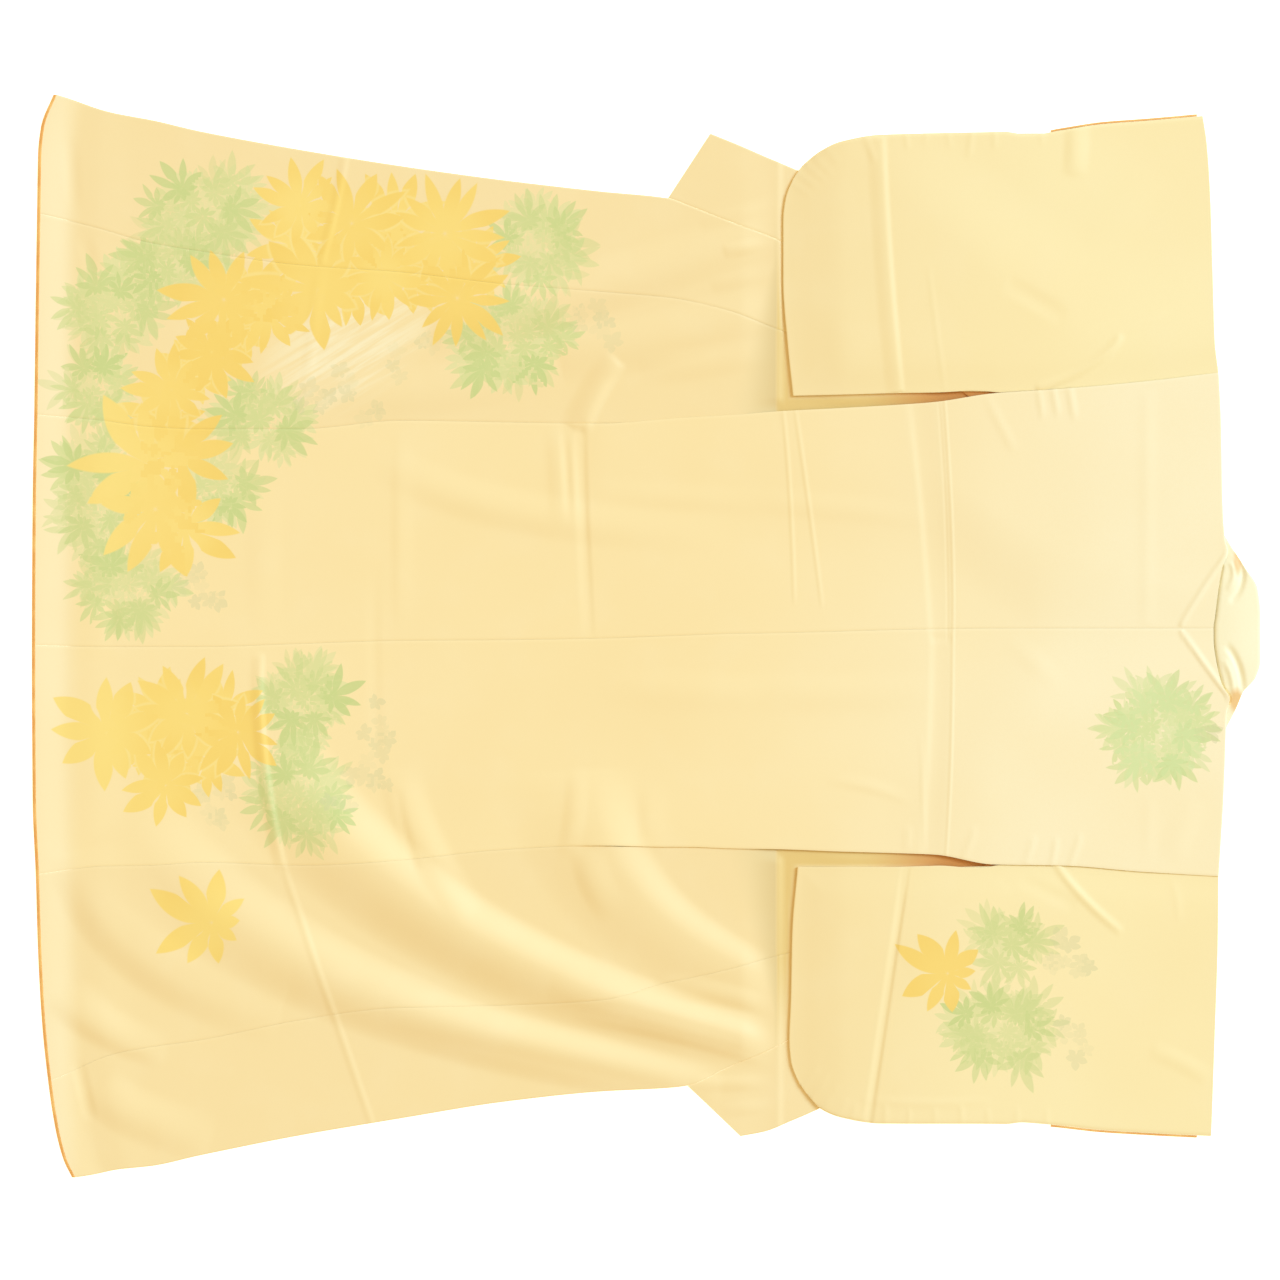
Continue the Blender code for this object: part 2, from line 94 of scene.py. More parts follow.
SECTION_COLUMNS = ("along", "edge_left", "okumi_left", "side_left", "centre",
                   "side_right", "okumi_right", "edge_right")
SECTIONS = (
    (-800, 703, 548, 287, -12, -309, -577, -703),
    (-710, 682, 528, 280, -14, -299, -546, -694),
    (-645, 671, 511, 272, -14, -298, -534, -689),
    (-580, 656, 500, 269, -14, -294, -525, -675),
    (-450, 632, 482, 269, -10, -298, -499, -649),
    (-320, 611, 473, 280, -6, -291, -482, -627),
    (-190, 593, 458, 278, -5, -278, -480, -606),
    (-60, 578, 447, 276, -3, -272, -472, -592),
    (28, 569, 440, 282, 0, -274, -450, -587),
    (53, 560, 436, 284, 1, -274, -445, -584),
    (109, 538, 422, 287, 3, -276, -432, -559),
    (172, 514, 398, 292, 4, -277, -415, -532),
    (250, 467, 373, 296, 6, -280, -398, -480),
    (320, 405, 351, 300, 8, -282, -372, -412),
    (375, 345, 334, 304, 9, -284, -340, -350),
    (450, 290, 325, 315, 10, -296.5, -325, -290),
    (540, 235, 322, 321, 10, -298, -316, -235),
    (642, 235, 330, 330, 10, -306, -306, -235),
    (743, 235, 341, 342, 10, -312, -311, -235),
)
HEM_LINE = ((703, -771), (662, -787), (625, -791), (567, -792), (437, -794), (287, -796), (177, -798),
            (-12, -799), (-213, -798), (-309, -794), (-408, -791), (-499, -786), (-577, -778),
            (-642, -768), (-680, -758), (-703, -747))
SHOULDER_LINE = ((342, 743), (281, 746), (177, 748), (125, 751), (109, 755), (92, 748), (60, 742),
                 (27, 738), (10, 736), (-5, 736), (-31, 739), (-64, 747), (-82, 757), (-99, 753),
                 (-135, 752), (-213, 749), (-312, 743))
UNDER_EDGE = ((-60, 276), (0, 272), (115, 273), (172, 277), (265, 268), (369, 235), (460, 177),
              (518, 144), (748, 109))
RISE_EDGE = ((-200, 262), (-50, 255), (172, 255), (265, 245), (369, 215), (460, 160), (518, 125),
             (620, 90), (700, 65), (760, 60))
RISE_WIDTH = 130 * MM
SLIT = ((190, 19, 23), (265, 17, 20), (330, 15, 18), (408, 9.3, 11), (440, 4, 5),
        (462, 0.5, 0.6), (570, 0.3, 0.3), (745, 0.3, 0.3))
SLEEVES = {
    "left": {
        "foot": ((190, 312), (183, 378), (177, 463), (177, 541), (180, 567), (190, 593), (203, 612)),
        "outer": ((203, 612), (226, 630), (252, 642), (304, 651), (460, 655), (512, 656), (538, 660),
                  (590, 668), (655, 673), (723, 679)),
        "fold": ((743, 342), (738, 385), (736, 463), (733, 567), (729, 632), (723, 679)),
    },
    "right": {
        "foot": ((196, -300), (189, -382), (187, -473), (185, -525), (187, -551), (196, -577), (208, -595)),
        "outer": ((208, -595), (226, -614), (252, -625), (304, -633), (460, -634), (525, -638),
                  (590, -645), (655, -649), (734, -653)),
        "fold": ((743, -312), (742, -408), (738, -538), (734, -653)),
    },
}
BEARING = ((170, 665, 672), (223, 640, 648), (302, 592, 604), (395, 514, 526), (498, 424, 434),
           (605, 372, 362), (750, 376, 350))
BEARING_WIDTH = 150 * MM
COLLAR_EDGE = {
    "left": ((28, 83, 653), (70, 120, 638), (109, 150, 625), (172, 208, 600), (250, 300, 552),
             (330, 395, 475), (430, 498, 386), (540, 605, 316)),
    "right": ((53, 122, -650), (96, 154, -644), (135, 187, -631), (172, 223, -615), (250, 302, -566),
              (330, 395, -488), (430, 498, -396), (540, 605, -318)),
}
NECK_COLUMNS = ("seam_x", "seam_y", "fold_x", "fold_y", "base", "puff")
NECK_SECTIONS = (
    (540.5, 234.6, 576, 279, 1.8, 0.3),
    (640, 160, 678, 203, 1.8, 0.3),
    (700, 116, 739, 150, 1.8, 0.3),
    (731, 98, 763, 113, 1.8, 0.3),
    (750, 84, 778, 90, 1.6, 1.2),
    (744, 61, 795, 62, 0.6, 3.5),
    (739, 26, 798.9, 28, 0, 5),
    (737, 2, 798.9, 3, 0, 5),
    (741, -31, 798.9, -30, 0, 5),
    (749, -56, 793, -53, 0.6, 3.5),
    (760, -78, 776, -73, 1.6, 1.2),
    (736, -88, 767, -94, 1.8, 0.3),
    (700, -110, 739, -144, 1.8, 0.3),
    (640, -158, 678, -201, 1.8, 0.3),
    (540.5, -234.6, 576, -279, 1.8, 0.3),
)
print("tables for", len(SECTIONS), "sections and", len(NECK_SECTIONS), "neck sections")

# %% [markdown]
# ## Curves through the tables
#
# A seam is pressed flat, so its line must run smoothly through the measured points without swinging
# past them. A monotone cubic does that. It is written for whole arrays of points at once, because the
# cloth has a fold or crease every few millimetres and its grids are fine.

# %% Curves


def ease(value):
    """0 below 0, 1 above 1, and a smooth step between."""
    value = np.clip(value, 0.0, 1.0)
    return value * value * (3 - 2 * value)


def ramp(value, start, length):
    """The same step for a value in metres, from 0 at start to 1 a length further on, both in mm."""
    return ease((value - start * MM) / (length * MM))


def named(table, columns):
    """The rows of a table, each as a dictionary by the names of its columns."""
    return [dict(zip(columns, row)) for row in table]


def smooth_line(keys, values):
    """A curve through the given points that never overshoots them."""
    keys, values = np.asarray(keys, float), np.asarray(values, float)
    spans = np.diff(keys)
    slopes = np.diff(values) / spans
    before, after = slopes[:-1], slopes[1:]
    total = np.where(before * after > 0, before + after, 1.0)
    middle = np.where(before * after > 0, 2 * before * after / total, 0.0)
    tangents = np.concatenate([slopes[:1], middle, slopes[-1:]])

    def at(key):
        key = np.clip(key, keys[0], keys[-1])
        i = np.clip(np.searchsorted(keys, key, side="right") - 1, 0, len(spans) - 1)
        t = (key - keys[i]) / spans[i]
        hold = (1 + 2 * t) * (1 - t) ** 2 * values[i] + t * t * (3 - 2 * t) * values[i + 1]
        turn = t * (1 - t) ** 2 * tangents[i] - t * t * (1 - t) * tangents[i + 1]
        return hold + turn * spans[i]

    return at


def table_line(rows, column=1):
    """The curve of one column of a table in mm over its first column."""
    ordered = sorted(rows)
    return smooth_line([row[0] * MM for row in ordered], [row[column] * MM for row in ordered])


def outline(points):
    """A curve through points in mm, from t = 0 to t = 1 by the length walked."""
    walked = np.concatenate([[0], np.cumsum([math.dist(a, b) for a, b in zip(points, points[1:])])])
    keys = walked / walked[-1]
    x_at = smooth_line(keys, [p[0] * MM for p in points])
    y_at = smooth_line(keys, [p[1] * MM for p in points])
    return lambda t: (x_at(t), y_at(t))


SEAMS = {name: table_line(SECTIONS, i) for i, name in enumerate(SECTION_COLUMNS) if i}
hem_line, shoulder_line = table_line(HEM_LINE), table_line(SHOULDER_LINE)
under_edge, rise_edge = table_line(UNDER_EDGE), table_line(RISE_EDGE)
slit = {"left": table_line(SLIT, 1), "right": table_line(SLIT, 2)}
bearing = {"left": table_line(BEARING, 1), "right": table_line(BEARING, 2)}
foot_line = {side: table_line([(abs(y), x) for x, y in SLEEVES[side]["foot"]]) for side in SLEEVES}
print("hem at the centre seam", round(float(hem_line(-0.012)), 4), "m")

# %% [markdown]
# ## Folds and creases
#
# Two kinds of relief show. The opened fronts have long soft folds, up to 13 mm high, because more cloth
# was spread there than lies flat. The rest has pressed creases from storage: lines where the silk was
# folded, each a low ridge with one steep side or a shallow trough. All are rows of one kind of table: a
# line from one place to another, bowed to its left, with a width to each side and a height. The cloth
# is lifted a little from the floor first, so that a trough never reaches into it.

# %% Folds and creases
CREASE_COLUMNS = ("from_x", "from_y", "by_x", "by_y", "to_x", "to_y", "left", "right", "taper",
                  "height", "fade")
SOFT_FOLDS = (
    (-490, -142, -318, -432, 213, -536, 70, 100, 0.42, 13, 0.8),  # long ridge of the right back and front
    (-684, -233, -479, -497, 96, -590, 80, 85, 0.35, 9.5, 0.8),  # broad ridge of the right front
    (-340, -481, -138, -520, 96, -585, 34, 34, 0.7, 3.5, 0.8),  # its end along the right overlap
    (-73, -174, -71, -385, 252, -476, 64, 125, 0.4, 8, 0.8),  # rise below the right underarm
    (-125, -454, 44, -493, 200, -545, 30, 26, 0.7, 3.5, 0.8),  # narrow ridge towards the right collar end
    (-739, -278, -713, -432, -476, -494, 85, 44, 1, 5.5, 0.8),  # low ridge behind the hem
    (-760, -463, -730, -512, -626, -546, 44, 30, 0.7, 3.6, 0.8),  # two at the hem of the right overlap
    (-717, -584, -684, -629, -567, -655, 40, 34, 1, 3.4, 0.8),
    (-327, -174, -301, -278, -229, -363, 36, 30, 0.8, 3.2, 0.8),  # short ridge beside the long one
    (-281, 391, -34, 450, 180, 538, 48, 45, 0.8, 6, 0.8),  # two waves of the left front
    (-112, 356, 57, 391, 180, 442, 38, 40, 1, 5, 0.8),
)
OPEN_CREASES = (
    (-499, 203, -500, 99, -500, -5, 30, 26, 1, 0.7, 1),  # storage fold of the left back, a low ridge
    (-500, -25, -508, -129, -471, -302, 4.5, 15, 1, 2, 0.25),  # the same fold on the right back, sharper
    (-471, -302, -427, -428, -354, -640, 5, 8, 1, 0.8, 0.15),  # and on across the right front
    (-352, 99, -354, -57, -346, -200, 8, 14, 1, -0.5, 1),  # faint second fold
    (-323, 274, -324, 125, -322, -5, 24, 8, 1, 0.7, 1),
    (-346, 229, -229, 144, 109, 131, 34, 30, 1, 2.2, 1),  # slow wave across the left back
    (-118, 278, -112, 216, -110, 144, 10, 20, 1, 1.3, 1),  # press lines of the waist
    (-99, 262, -96, 216, -93, 160, 8, 6, 1, 0.5, 0.8),
    (-83, 283, -83, 177, -72, -5, 7, 14, 1, -1.2, 0.6),
    (-90, -170, -93, -239, -105, -290, 20, 16, 1, 1.2, 1),
    (-36, 356, -66, 322, -87, 268, 15, 25, 1.2, 3.4, 0.4),  # bulge of the left front where its seam stops
    (-78, -277, -82, -318, -40, -365, 30, 22, 1, 1.9, 1),  # and of the right front
    (-323, -200, -318, -252, -297, -304, 8, 8, 1, -0.8, 0.4),
    (2, -190, 2, -246, 5, -286, 28, 15, 1, 0.8, 1),
    (-391, 621, -401, 560, -422, 484, 6, 10, 1, 1, 0.15),  # fold across the left overlap
    (-422, 484, -435, 398, -443, 307, 12, 12, 1, 0.5, 0.5),
    (-749, 651, -747, 599, -743, 547, 14, 14, 1, -0.8, 1),  # hollows behind the hem
    (-731, 520, -726, 495, -718, 456, 14, 12, 1, -0.7, 1),
    (-700, 52, -690, 21, -700, -18, 14, 14, 1, -0.7, 1),
    (-739, -554, -731, -590, -721, -629, 12, 12, 1, -1.2, 0.5),
    (-93, -489, 31, -507, 167, -554, 20, 18, 0.8, 2.6, 1),  # narrow folds towards the right collar end
    (11, -454, 89, -460, 180, -489, 22, 20, 0.8, 2.4, 1),
    (57, -580, 122, -585, 184, -575, 13, 13, 1, 1.6, 1),
    (98, -619, 142, -611, 187, -603, 12, 12, 1, 1.4, 1),
    (70, 533, 128, 549, 184, 572, 14, 14, 1, 1.7, 1),  # and the left one
    (101, 499, 142, 507, 187, 517, 12, 12, 1, 1.5, 0.4),
    (85, 452, 137, 463, 187, 491, 16, 14, 1, 1.8, 1),
    (-8, 343, 70, 351, 174, 374, 26, 24, 1, 1.8, 1),
    (-73, 187, 44, 177, 174, 173, 22, 20, 1, 0.9, 1),  # low bands along the back
    (-60, -70, 70, -73, 187, -75, 30, 30, 1, 1.2, 1),
    (-411, 313, -281, 300, -112, 352, 40, 34, 1, 2.2, 1),
    (-515, -161, -450, -83, -411, -18, 50, 50, 1, 1, 1),
)
BACK_CREASES = (
    (177, 294, 188, 203, 192, 44, 4, 4, 1, 0.55, 0.25),  # thin storage folds
    (193, 294, 211, 177, 228, 39, 4, 4, 1, 0.55, 0.25),
    (346, 304, 363, 177, 375, -8, 34, 9, 1, -1.1, 0.15),  # the cloth taken up by the stitched tuck
    (376, 0, 375, -135, 363, -286, 24, 9, 1, -0.9, 0.15),
    (387, 306, 402, 99, 398, -8, 3, 3.5, 1, 0.5, 0.1),  # stitched line of the tuck
    (398, 0, 398, -161, 389, -286, 3, 3.5, 1, 0.5, 0.1),
    (379, 303, 392, 151, 391, -8, 2.5, 2.5, 1, -0.3, 0.1),
    (356, -129, 359, -213, 362, -281, 3, 3, 1, 0.4, 0.3),
    (648, 317, 649, 177, 648, 14, 16, 11, 1, 0.5, 0.2),  # fold of the shoulder lining
    (652, -200, 651, -239, 649, -299, 14, 11, 1, 0.4, 1),
    (96, 177, 239, 169, 379, 151, 22, 20, 1, 0.9, 1),  # low bands along the back
    (96, -73, 239, -77, 382, -70, 30, 30, 1, 1.2, 1),
    (233, -190, 288, -192, 345, -218, 16, 6, 1, 0.8, 1),
    (508, 320, 512, 304, 514, 281, 6, 6, 1, 0.8, 0.4),  # puckers along the armholes
    (527, 322, 530, 307, 534, 286, 6, 6, 1, 0.9, 0.4),
    (548, 325, 551, 307, 556, 281, 7, 7, 1, 0.9, 0.4),
    (440, 312, 462, 268, 478, 239, 9, 8, 1, 0.7, 0.5),
    (336, -278, 340, -263, 340, -247, 6, 6, 1, 0.7, 0.4),
    (410, -289, 421, -268, 426, -250, 7, 7, 1, 0.8, 0.4),
    (491, -296, 499, -273, 504, -260, 6, 6, 1, 0.8, 0.4),
    (525, -299, 530, -278, 532, -263, 6, 6, 1, 0.8, 0.4),
    (548, -302, 558, -276, 564, -257, 7, 6, 1, 0.8, 0.4),
    (681, -291, 687, -259, 720, -213, 26, 22, 1, 0.9, 1),
    (466, -5, 505, -31, 538, -70, 20, 18, 1, 0.5, 1),
    (692, 13.5, 718, 60, 753, 108, 3, 6, 1, 1.7, 0.15),  # edges of the neck patch under the cloth
    (692, 7, 723, -36, 757, -83, 6, 3, 1, 1.7, 0.15),
)
SLEEVE_CREASES = {
    "left": (
        (304, 647, 309, 495, 328, 317, 9, 20, 1, 1.5, 0.1),  # long storage fold, pressed up
        (366, 481, 376, 398, 388, 317, 4, 5, 1, 0.36, 0.3),
        (506, 321, 588, 345, 616, 389, 8, 7, 1, 2.2, 0.25),  # fold from the armhole
        (613, 387, 642, 403, 674, 419, 7, 6, 1, 0.5, 0.5),
        (466, 458, 505, 437, 543, 413, 16, 16, 1, -0.9, 0.5),
        (557, 668, 557, 632, 553, 598, 22, 16, 1, 1.7, 0.5),  # bulge at the end of the opening
        (179, 595, 194, 584, 213, 572, 4, 4, 1, 0.48, 0.3),  # pleats round the corner
        (184, 610, 202, 595, 223, 582, 4, 4, 1, 0.54, 0.3),
        (193, 623, 213, 606, 233, 590, 4, 4, 1, 0.54, 0.3),
        (206, 633, 223, 616, 241, 598, 4, 4, 1, 0.48, 0.3),
        (223, 642, 236, 629, 249, 614, 4, 4, 1, 0.42, 0.3),
        (283, 653, 288, 637, 296, 616, 7, 7, 1, 0.66, 0.3),  # puckers along the sewn edge
        (336, 655, 337, 644, 340, 632, 5, 5, 1, 0.42, 0.4),
        (363, 656, 363, 646, 362, 637, 5, 5, 1, 0.36, 0.4),
        (391, 658, 392, 645, 395, 632, 5, 5, 1, 0.42, 0.4),
        (422, 659, 421, 642, 418, 621, 7, 6, 1, 0.54, 0.4),
        (452, 660, 452, 647, 453, 632, 5, 6, 1, 0.48, 0.4),
        (512, 662, 512, 650, 514, 637, 5, 5, 1, 0.36, 0.4),
        (655, 606, 629, 554, 570, 508, 36, 36, 1, 0.5, 0.8),
        (239, 437, 258, 398, 265, 317, 50, 40, 1, 0.5, 0.6),
    ),
    "right": (
        (340, -294, 322, -415, 289, -637, 4, 10, 1, -1.6, 0.1),  # long storage fold, pressed down
        (531, -295, 557, -337, 616, -384, 7, 7, 1, 1.8, 0.3),  # fold from the armhole
        (486, -317, 531, -337, 557, -350, 12, 14, 1, -0.7, 0.5),
        (681, -317, 691, -341, 690, -372, 7, 6, 1, 0.42, 0.4),
        (655, -538, 694, -551, 730, -575, 16, 14, 1, 0.9, 0.5),
        (196, -590, 207, -577, 223, -562, 4, 4, 1, 0.48, 0.3),  # pleats round the corner
        (207, -604, 222, -589, 236, -573, 4, 4, 1, 0.54, 0.3),
        (223, -618, 236, -602, 249, -586, 4, 4, 1, 0.48, 0.3),
        (242, -628, 252, -614, 262, -601, 4, 4, 1, 0.42, 0.3),
        (266, -632, 268, -620, 272, -608, 5, 5, 1, 0.42, 0.4),  # puckers along the sewn edge
        (309, -634, 310, -624, 311, -608, 6, 6, 1, 0.48, 0.4),
        (340, -634, 341, -624, 341, -614, 5, 5, 1, 0.42, 0.4),
        (374, -634, 375, -624, 374, -611, 5, 5, 1, 0.42, 0.4),
        (409, -634, 410, -621, 408, -608, 6, 5, 1, 0.48, 0.4),
        (443, -636, 444, -625, 443, -614, 5, 5, 1, 0.42, 0.4),
        (480, -637, 480, -625, 483, -614, 5, 5, 1, 0.42, 0.4),
        (519, -637, 519, -627, 521, -614, 5, 5, 1, 0.36, 0.4),
        (278, -601, 369, -611, 447, -603, 8, 8, 1, 0.6, 0.5),
        (460, -317, 408, -382, 330, -421, 40, 40, 1, 0.9, 0.7),
    ),
}
CURVE_PARTS = 16


def crease_curve(fold):
    """Points of a fold's line: from one place, by a second, towards a third."""
    t = np.linspace(0, 1, CURVE_PARTS + 1)
    weights = (1 - t) ** 2, 2 * t * (1 - t), t * t
    return [MM * sum(w * fold[place + axis] for w, place in zip(weights, ("from", "by", "to")))
            for axis in ("_x", "_y")]


def nearest_on(curve_x, curve_y, x, y):
    """Place along a curve, from 0 to 1, and distance aside, positive to the left."""
    best = np.full(x.shape, 1e9)
    along, aside = np.zeros(x.shape), np.zeros(x.shape)
    for i in range(CURVE_PARTS):
        start = curve_x[i], curve_y[i]
        run = curve_x[i + 1] - start[0], curve_y[i + 1] - start[1]
        length = math.hypot(*run)
        share = np.clip(((x - start[0]) * run[0] + (y - start[1]) * run[1]) / length**2, 0, 1)
        away = np.hypot(x - start[0] - run[0] * share, y - start[1] - run[1] * share)
        side = np.sign((y - start[1]) * run[0] - (x - start[0]) * run[1])
        nearer = away < best
        best = np.where(nearer, away, best)
        along = np.where(nearer, (i + share) / CURVE_PARTS, along)
        aside = np.where(nearer, side * away, aside)
    return along, aside


def creases(table, x, y):
    """Height that a table of folds adds at each point."""
    x, y = np.broadcast_arrays(x, y)
    height = np.zeros(x.shape)
    for fold in named(table, CREASE_COLUMNS):
        curve_x, curve_y = crease_curve(fold)
        reach = max(fold["left"], fold["right"]) * MM
        near = ((x > curve_x.min() - reach) & (x < curve_x.max() + reach)
                & (y > curve_y.min() - reach) & (y < curve_y.max() + reach))
        if not near.any():
            continue
        along, aside = nearest_on(curve_x, curve_y, x[near], y[near])
        width = np.where(aside > 0, fold["left"], fold["right"]) * MM * (1 - (1 - fold["taper"]) * along)
        across = np.clip(1 - (aside / width) ** 2, 0, 1) ** 2
        height[near] += fold["height"] * MM * across * (4 * along * (1 - along)) ** fold["fade"]
    return height


FOLD_STOP = (120, 52)  # mm along from where, and over which length, the opened cloth's folds die out
LIFT = 1.3 * MM  # how far the cloth stands off the floor between its folds
SOFTNESS = 0.5 * MM  # of the bend where a trough would reach the floor
HEM_HEIGHT, HEM_HOLLOW, HEM_SLOPE = 3.4 * MM, 0.9 * MM, 50 * MM
SWELL_HEIGHT, SWELL_FROM, SWELL_FADE = 3.4 * MM, 130 * MM, 7 * MM
WAVE_COLUMNS = ("length", "direction", "phase", "height")
WAVES = ((310, 24, 0.4, 0.18), (230, 112, 2.1, 0.15), (170, 67, 4.0, 0.1), (120, 158, 1.2, 0.07))


def lift(x, y):
    """The cloth's slow unevenness, always above zero."""
    height = np.full(np.broadcast(x, y).shape, LIFT)
    for wave in named(WAVES, WAVE_COLUMNS):
        turn = math.radians(wave["direction"])
        along = (x * math.cos(turn) + y * math.sin(turn)) / (wave["length"] * MM)
        height += wave["height"] * MM * np.sin(along * math.tau + wave["phase"])
    return height


def settle(height):
    """Keeps the relief above the floor, with a soft bend where a trough would go below it."""
    return (height + np.sqrt(height**2 + SOFTNESS**2)) / 2


def hem_rise(x, y):
    """The cloth stands up towards the thick rolled hem and is a little hollow behind that slope."""
    inside = (x - hem_line(y)) / HEM_SLOPE
    return HEM_HEIGHT * (1 - ease(inside)) + HEM_HOLLOW * ease(inside - 0.7) * (1 - ease(inside - 1.5))


def beside_back(x, y):
    """How far outside the edge of the back a place is."""
    return np.abs(y) - np.where(y > 0, SEAMS["side_left"](x), -SEAMS["side_right"](x))


def swell(x, y):
    """The fronts rise to a ridge just before they go under the foot of a sleeve."""
    rise = np.clip((x - SWELL_FROM) / (SHADE_FROM - SWELL_FROM), 0, 1) ** 2
    rise = rise * (1 - ease((x - SHADE_FROM) / SWELL_FADE))
    outwards = beside_back(x, y)
    return SWELL_HEIGHT * rise * ramp(outwards, 3, 16) * (1 - 0.65 * ramp(outwards, 3, 300))


def open_relief(x, y):
    """Relief of the opened lower part, shared by backs, fronts and overlaps so their seams meet."""
    folds = creases(SOFT_FOLDS, x, y) + creases(OPEN_CREASES, x, y)
    return settle(lift(x, y) + folds + hem_rise(x, y)) * (1 - ramp(x, *FOLD_STOP))


samples = open_relief(np.array([-0.2, 0.0]), np.array([-0.35, -0.1]))
print("relief at two places, mm:", (samples / MM).round(2))

# %% [markdown]
# ## Which layer lies on which
#
# A kimono on a table is a stack. The backs lie on the floor in the middle and on the fronts outside,
# the collar's ends lie beside the overlaps and then on the fronts, and the sleeves lie on both. The
# underside of each piece is a height over the floor that eases from layer to layer, as in the solids.
# A front also comes up in two places: in the slit between back and sleeve, where one looks down on it,
# and in a ridge just before the sleeve's foot, which shades the cloth in front of it. More of that shade
# is painted into the cloth's colour.

# %% Layers
SLIT_RISE = 0.85 * LAYER  # of a front in the slit


def back_base(x, y):
    """How high the layers below hold the back: fronts at its sides, then the collar and its roll."""
    below = ramp(x, -120, 70) * LAYER + ramp(x, 300, 150) * 2 * LAYER
    width = np.minimum(RISE_WIDTH, rise_edge(x))
    share = ease((np.abs(y) - rise_edge(x) + width) / width)
    held = 0.65 * ramp(x, 400, 250)  # the rolled collar holds up the middle too
    return below * (held + (1 - held) * share)


def back_height(x, y):
    """Underside of the back: the shared relief below, and creases of its own above the waist."""
    own = settle(lift(x, y) + creases(BACK_CREASES, x, y)) * ramp(x, *FOLD_STOP)
    return back_base(x, y) + open_relief(x, y) + own


def front_height(x, y):
    """Underside of a front or overlap: it nears the sleeve in the slit, and the back at the shoulder."""
    shoulder = ramp(x, 700, 43) * ramp(np.abs(y), 190, 30)
    beside = beside_back(x, y)
    in_slit = ramp(beside, 1, 9) * (1 - ramp(beside, 60, 80))
    in_slit = in_slit * ramp(x, 207, 60) * (1 - ramp(x, 360, 80))
    in_slit = in_slit * (1 - ramp(x, 350, 35) * ramp(beside, 5, 7))  # clear of the collar's end
    return 2 * LAYER * shoulder + SLIT_RISE * in_slit + open_relief(x, y) + swell(x, y)


def collar_height(x, y):
    """Underside of a collar end, which climbs onto the front under the sleeve."""
    return LAYER * ramp(x, 240, 60) + open_relief(x, y) + swell(x, y)


def sleeve_height(side):
    """Underside of a sleeve, which lies on the front, then on the collar too, and outside on the floor."""
    def height(x, y):
        resting = LAYER + LAYER * ramp(x, 200, 60)
        return resting * (1 - ease((np.abs(y) - bearing[side](x)) / BEARING_WIDTH))
    return height


def bend_ends(x, y):
    """Moves a point of a straight row onto the curve of the hem and of the shoulder line."""
    to_hem = 1 - ease((x - HEM) / OPEN_HEM_BEND)
    to_shoulder = ease((x - SHOULDER) / SHOULDER_BEND + 1)
    hem_shift = hem_line(y) + HEM_ROLL + SEAM - HEM
    return x + to_hem * hem_shift + to_shoulder * (shoulder_line(y) - SHOULDER)


print("back over the collar:", round(float(back_base(0.6, 0.3)) / MM, 2), "mm")

# %% [markdown]
# ## The dyed leaves
#
# The pattern is a plain maple leaf motif. Large yellow leaves run in an arc over the left hem with
# smaller green ones massed round them, and a few single leaves lie elsewhere. A leaf is a fan of
# pointed lobes, which a formula in the leaf's own polar coordinates gives. Each face of the cloth
# keeps, at its corners, where it is in the leaf that covers it, so the material can draw a crisp edge
# on a mesh that is much coarser. The formula is written once and works on arrays and on shader sockets.

# %% The leaf formula
LEAF_COLUMNS = ("x", "y", "reach", "turn", "even", "lobes", "width")


def leaf_cover(u, v, lobes, width, even, tone, m):
    """How deep inside a leaf a place is, in leaf lengths, below zero outside; its lobe; its distance.

    m is a maths library, for arrays or for shader sockets. The sines of the lobe's number and the tone
    make each lobe of each leaf sway, stretch, broaden and narrow in the middle by a little of its own.
    """
    spacing = math.tau / lobes
    distance = m.sqrt(u * u + v * v)
    angle = m.arctan2(v, u)
    lobe = m.round(angle / spacing)
    sway = m.sin(lobe * 2.4 + tone * 40.0)
    aside = angle - (lobe + 0.12 * sway + 0.25 * sway * (distance - 0.5)) * spacing
    length = even + (1 - even) * (0.5 + 0.5 * m.cos(lobe * spacing))
    length = length * (0.95 + 0.08 * m.sin(lobe * 4.1 + tone * 70.0))
    along = distance * m.cos(aside) / length
    off = m.absolute(distance * m.sin(aside))
    share = m.minimum(m.maximum(along, 0.001), 0.999)
    broad = width * (0.35 + 0.65 * length) * (1.0 + 0.16 * m.sin(lobe * 3.3 + tone * 23.0))
    dent = m.maximum(1 - ((share - 0.3) / 0.16) ** 2, 0.0)
    pinch = m.maximum(m.sin(lobe * 5.3 + tone * 31.0), 0.0) * dent
    half = broad * 3.86 * share * (1 - share) ** 0.95 * (1 - 0.35 * pinch)
    return half - off - 0.004 - m.maximum(along - 1, 0) * 0.5, lobe, distance


tip, middle = leaf_cover(np.array([0.9, 0.4]), np.zeros(2), 9.0, 0.19, 0.6, 0.0, np)[0]
print("depth near a tip and half way:", round(float(tip), 3), round(float(middle), 3))

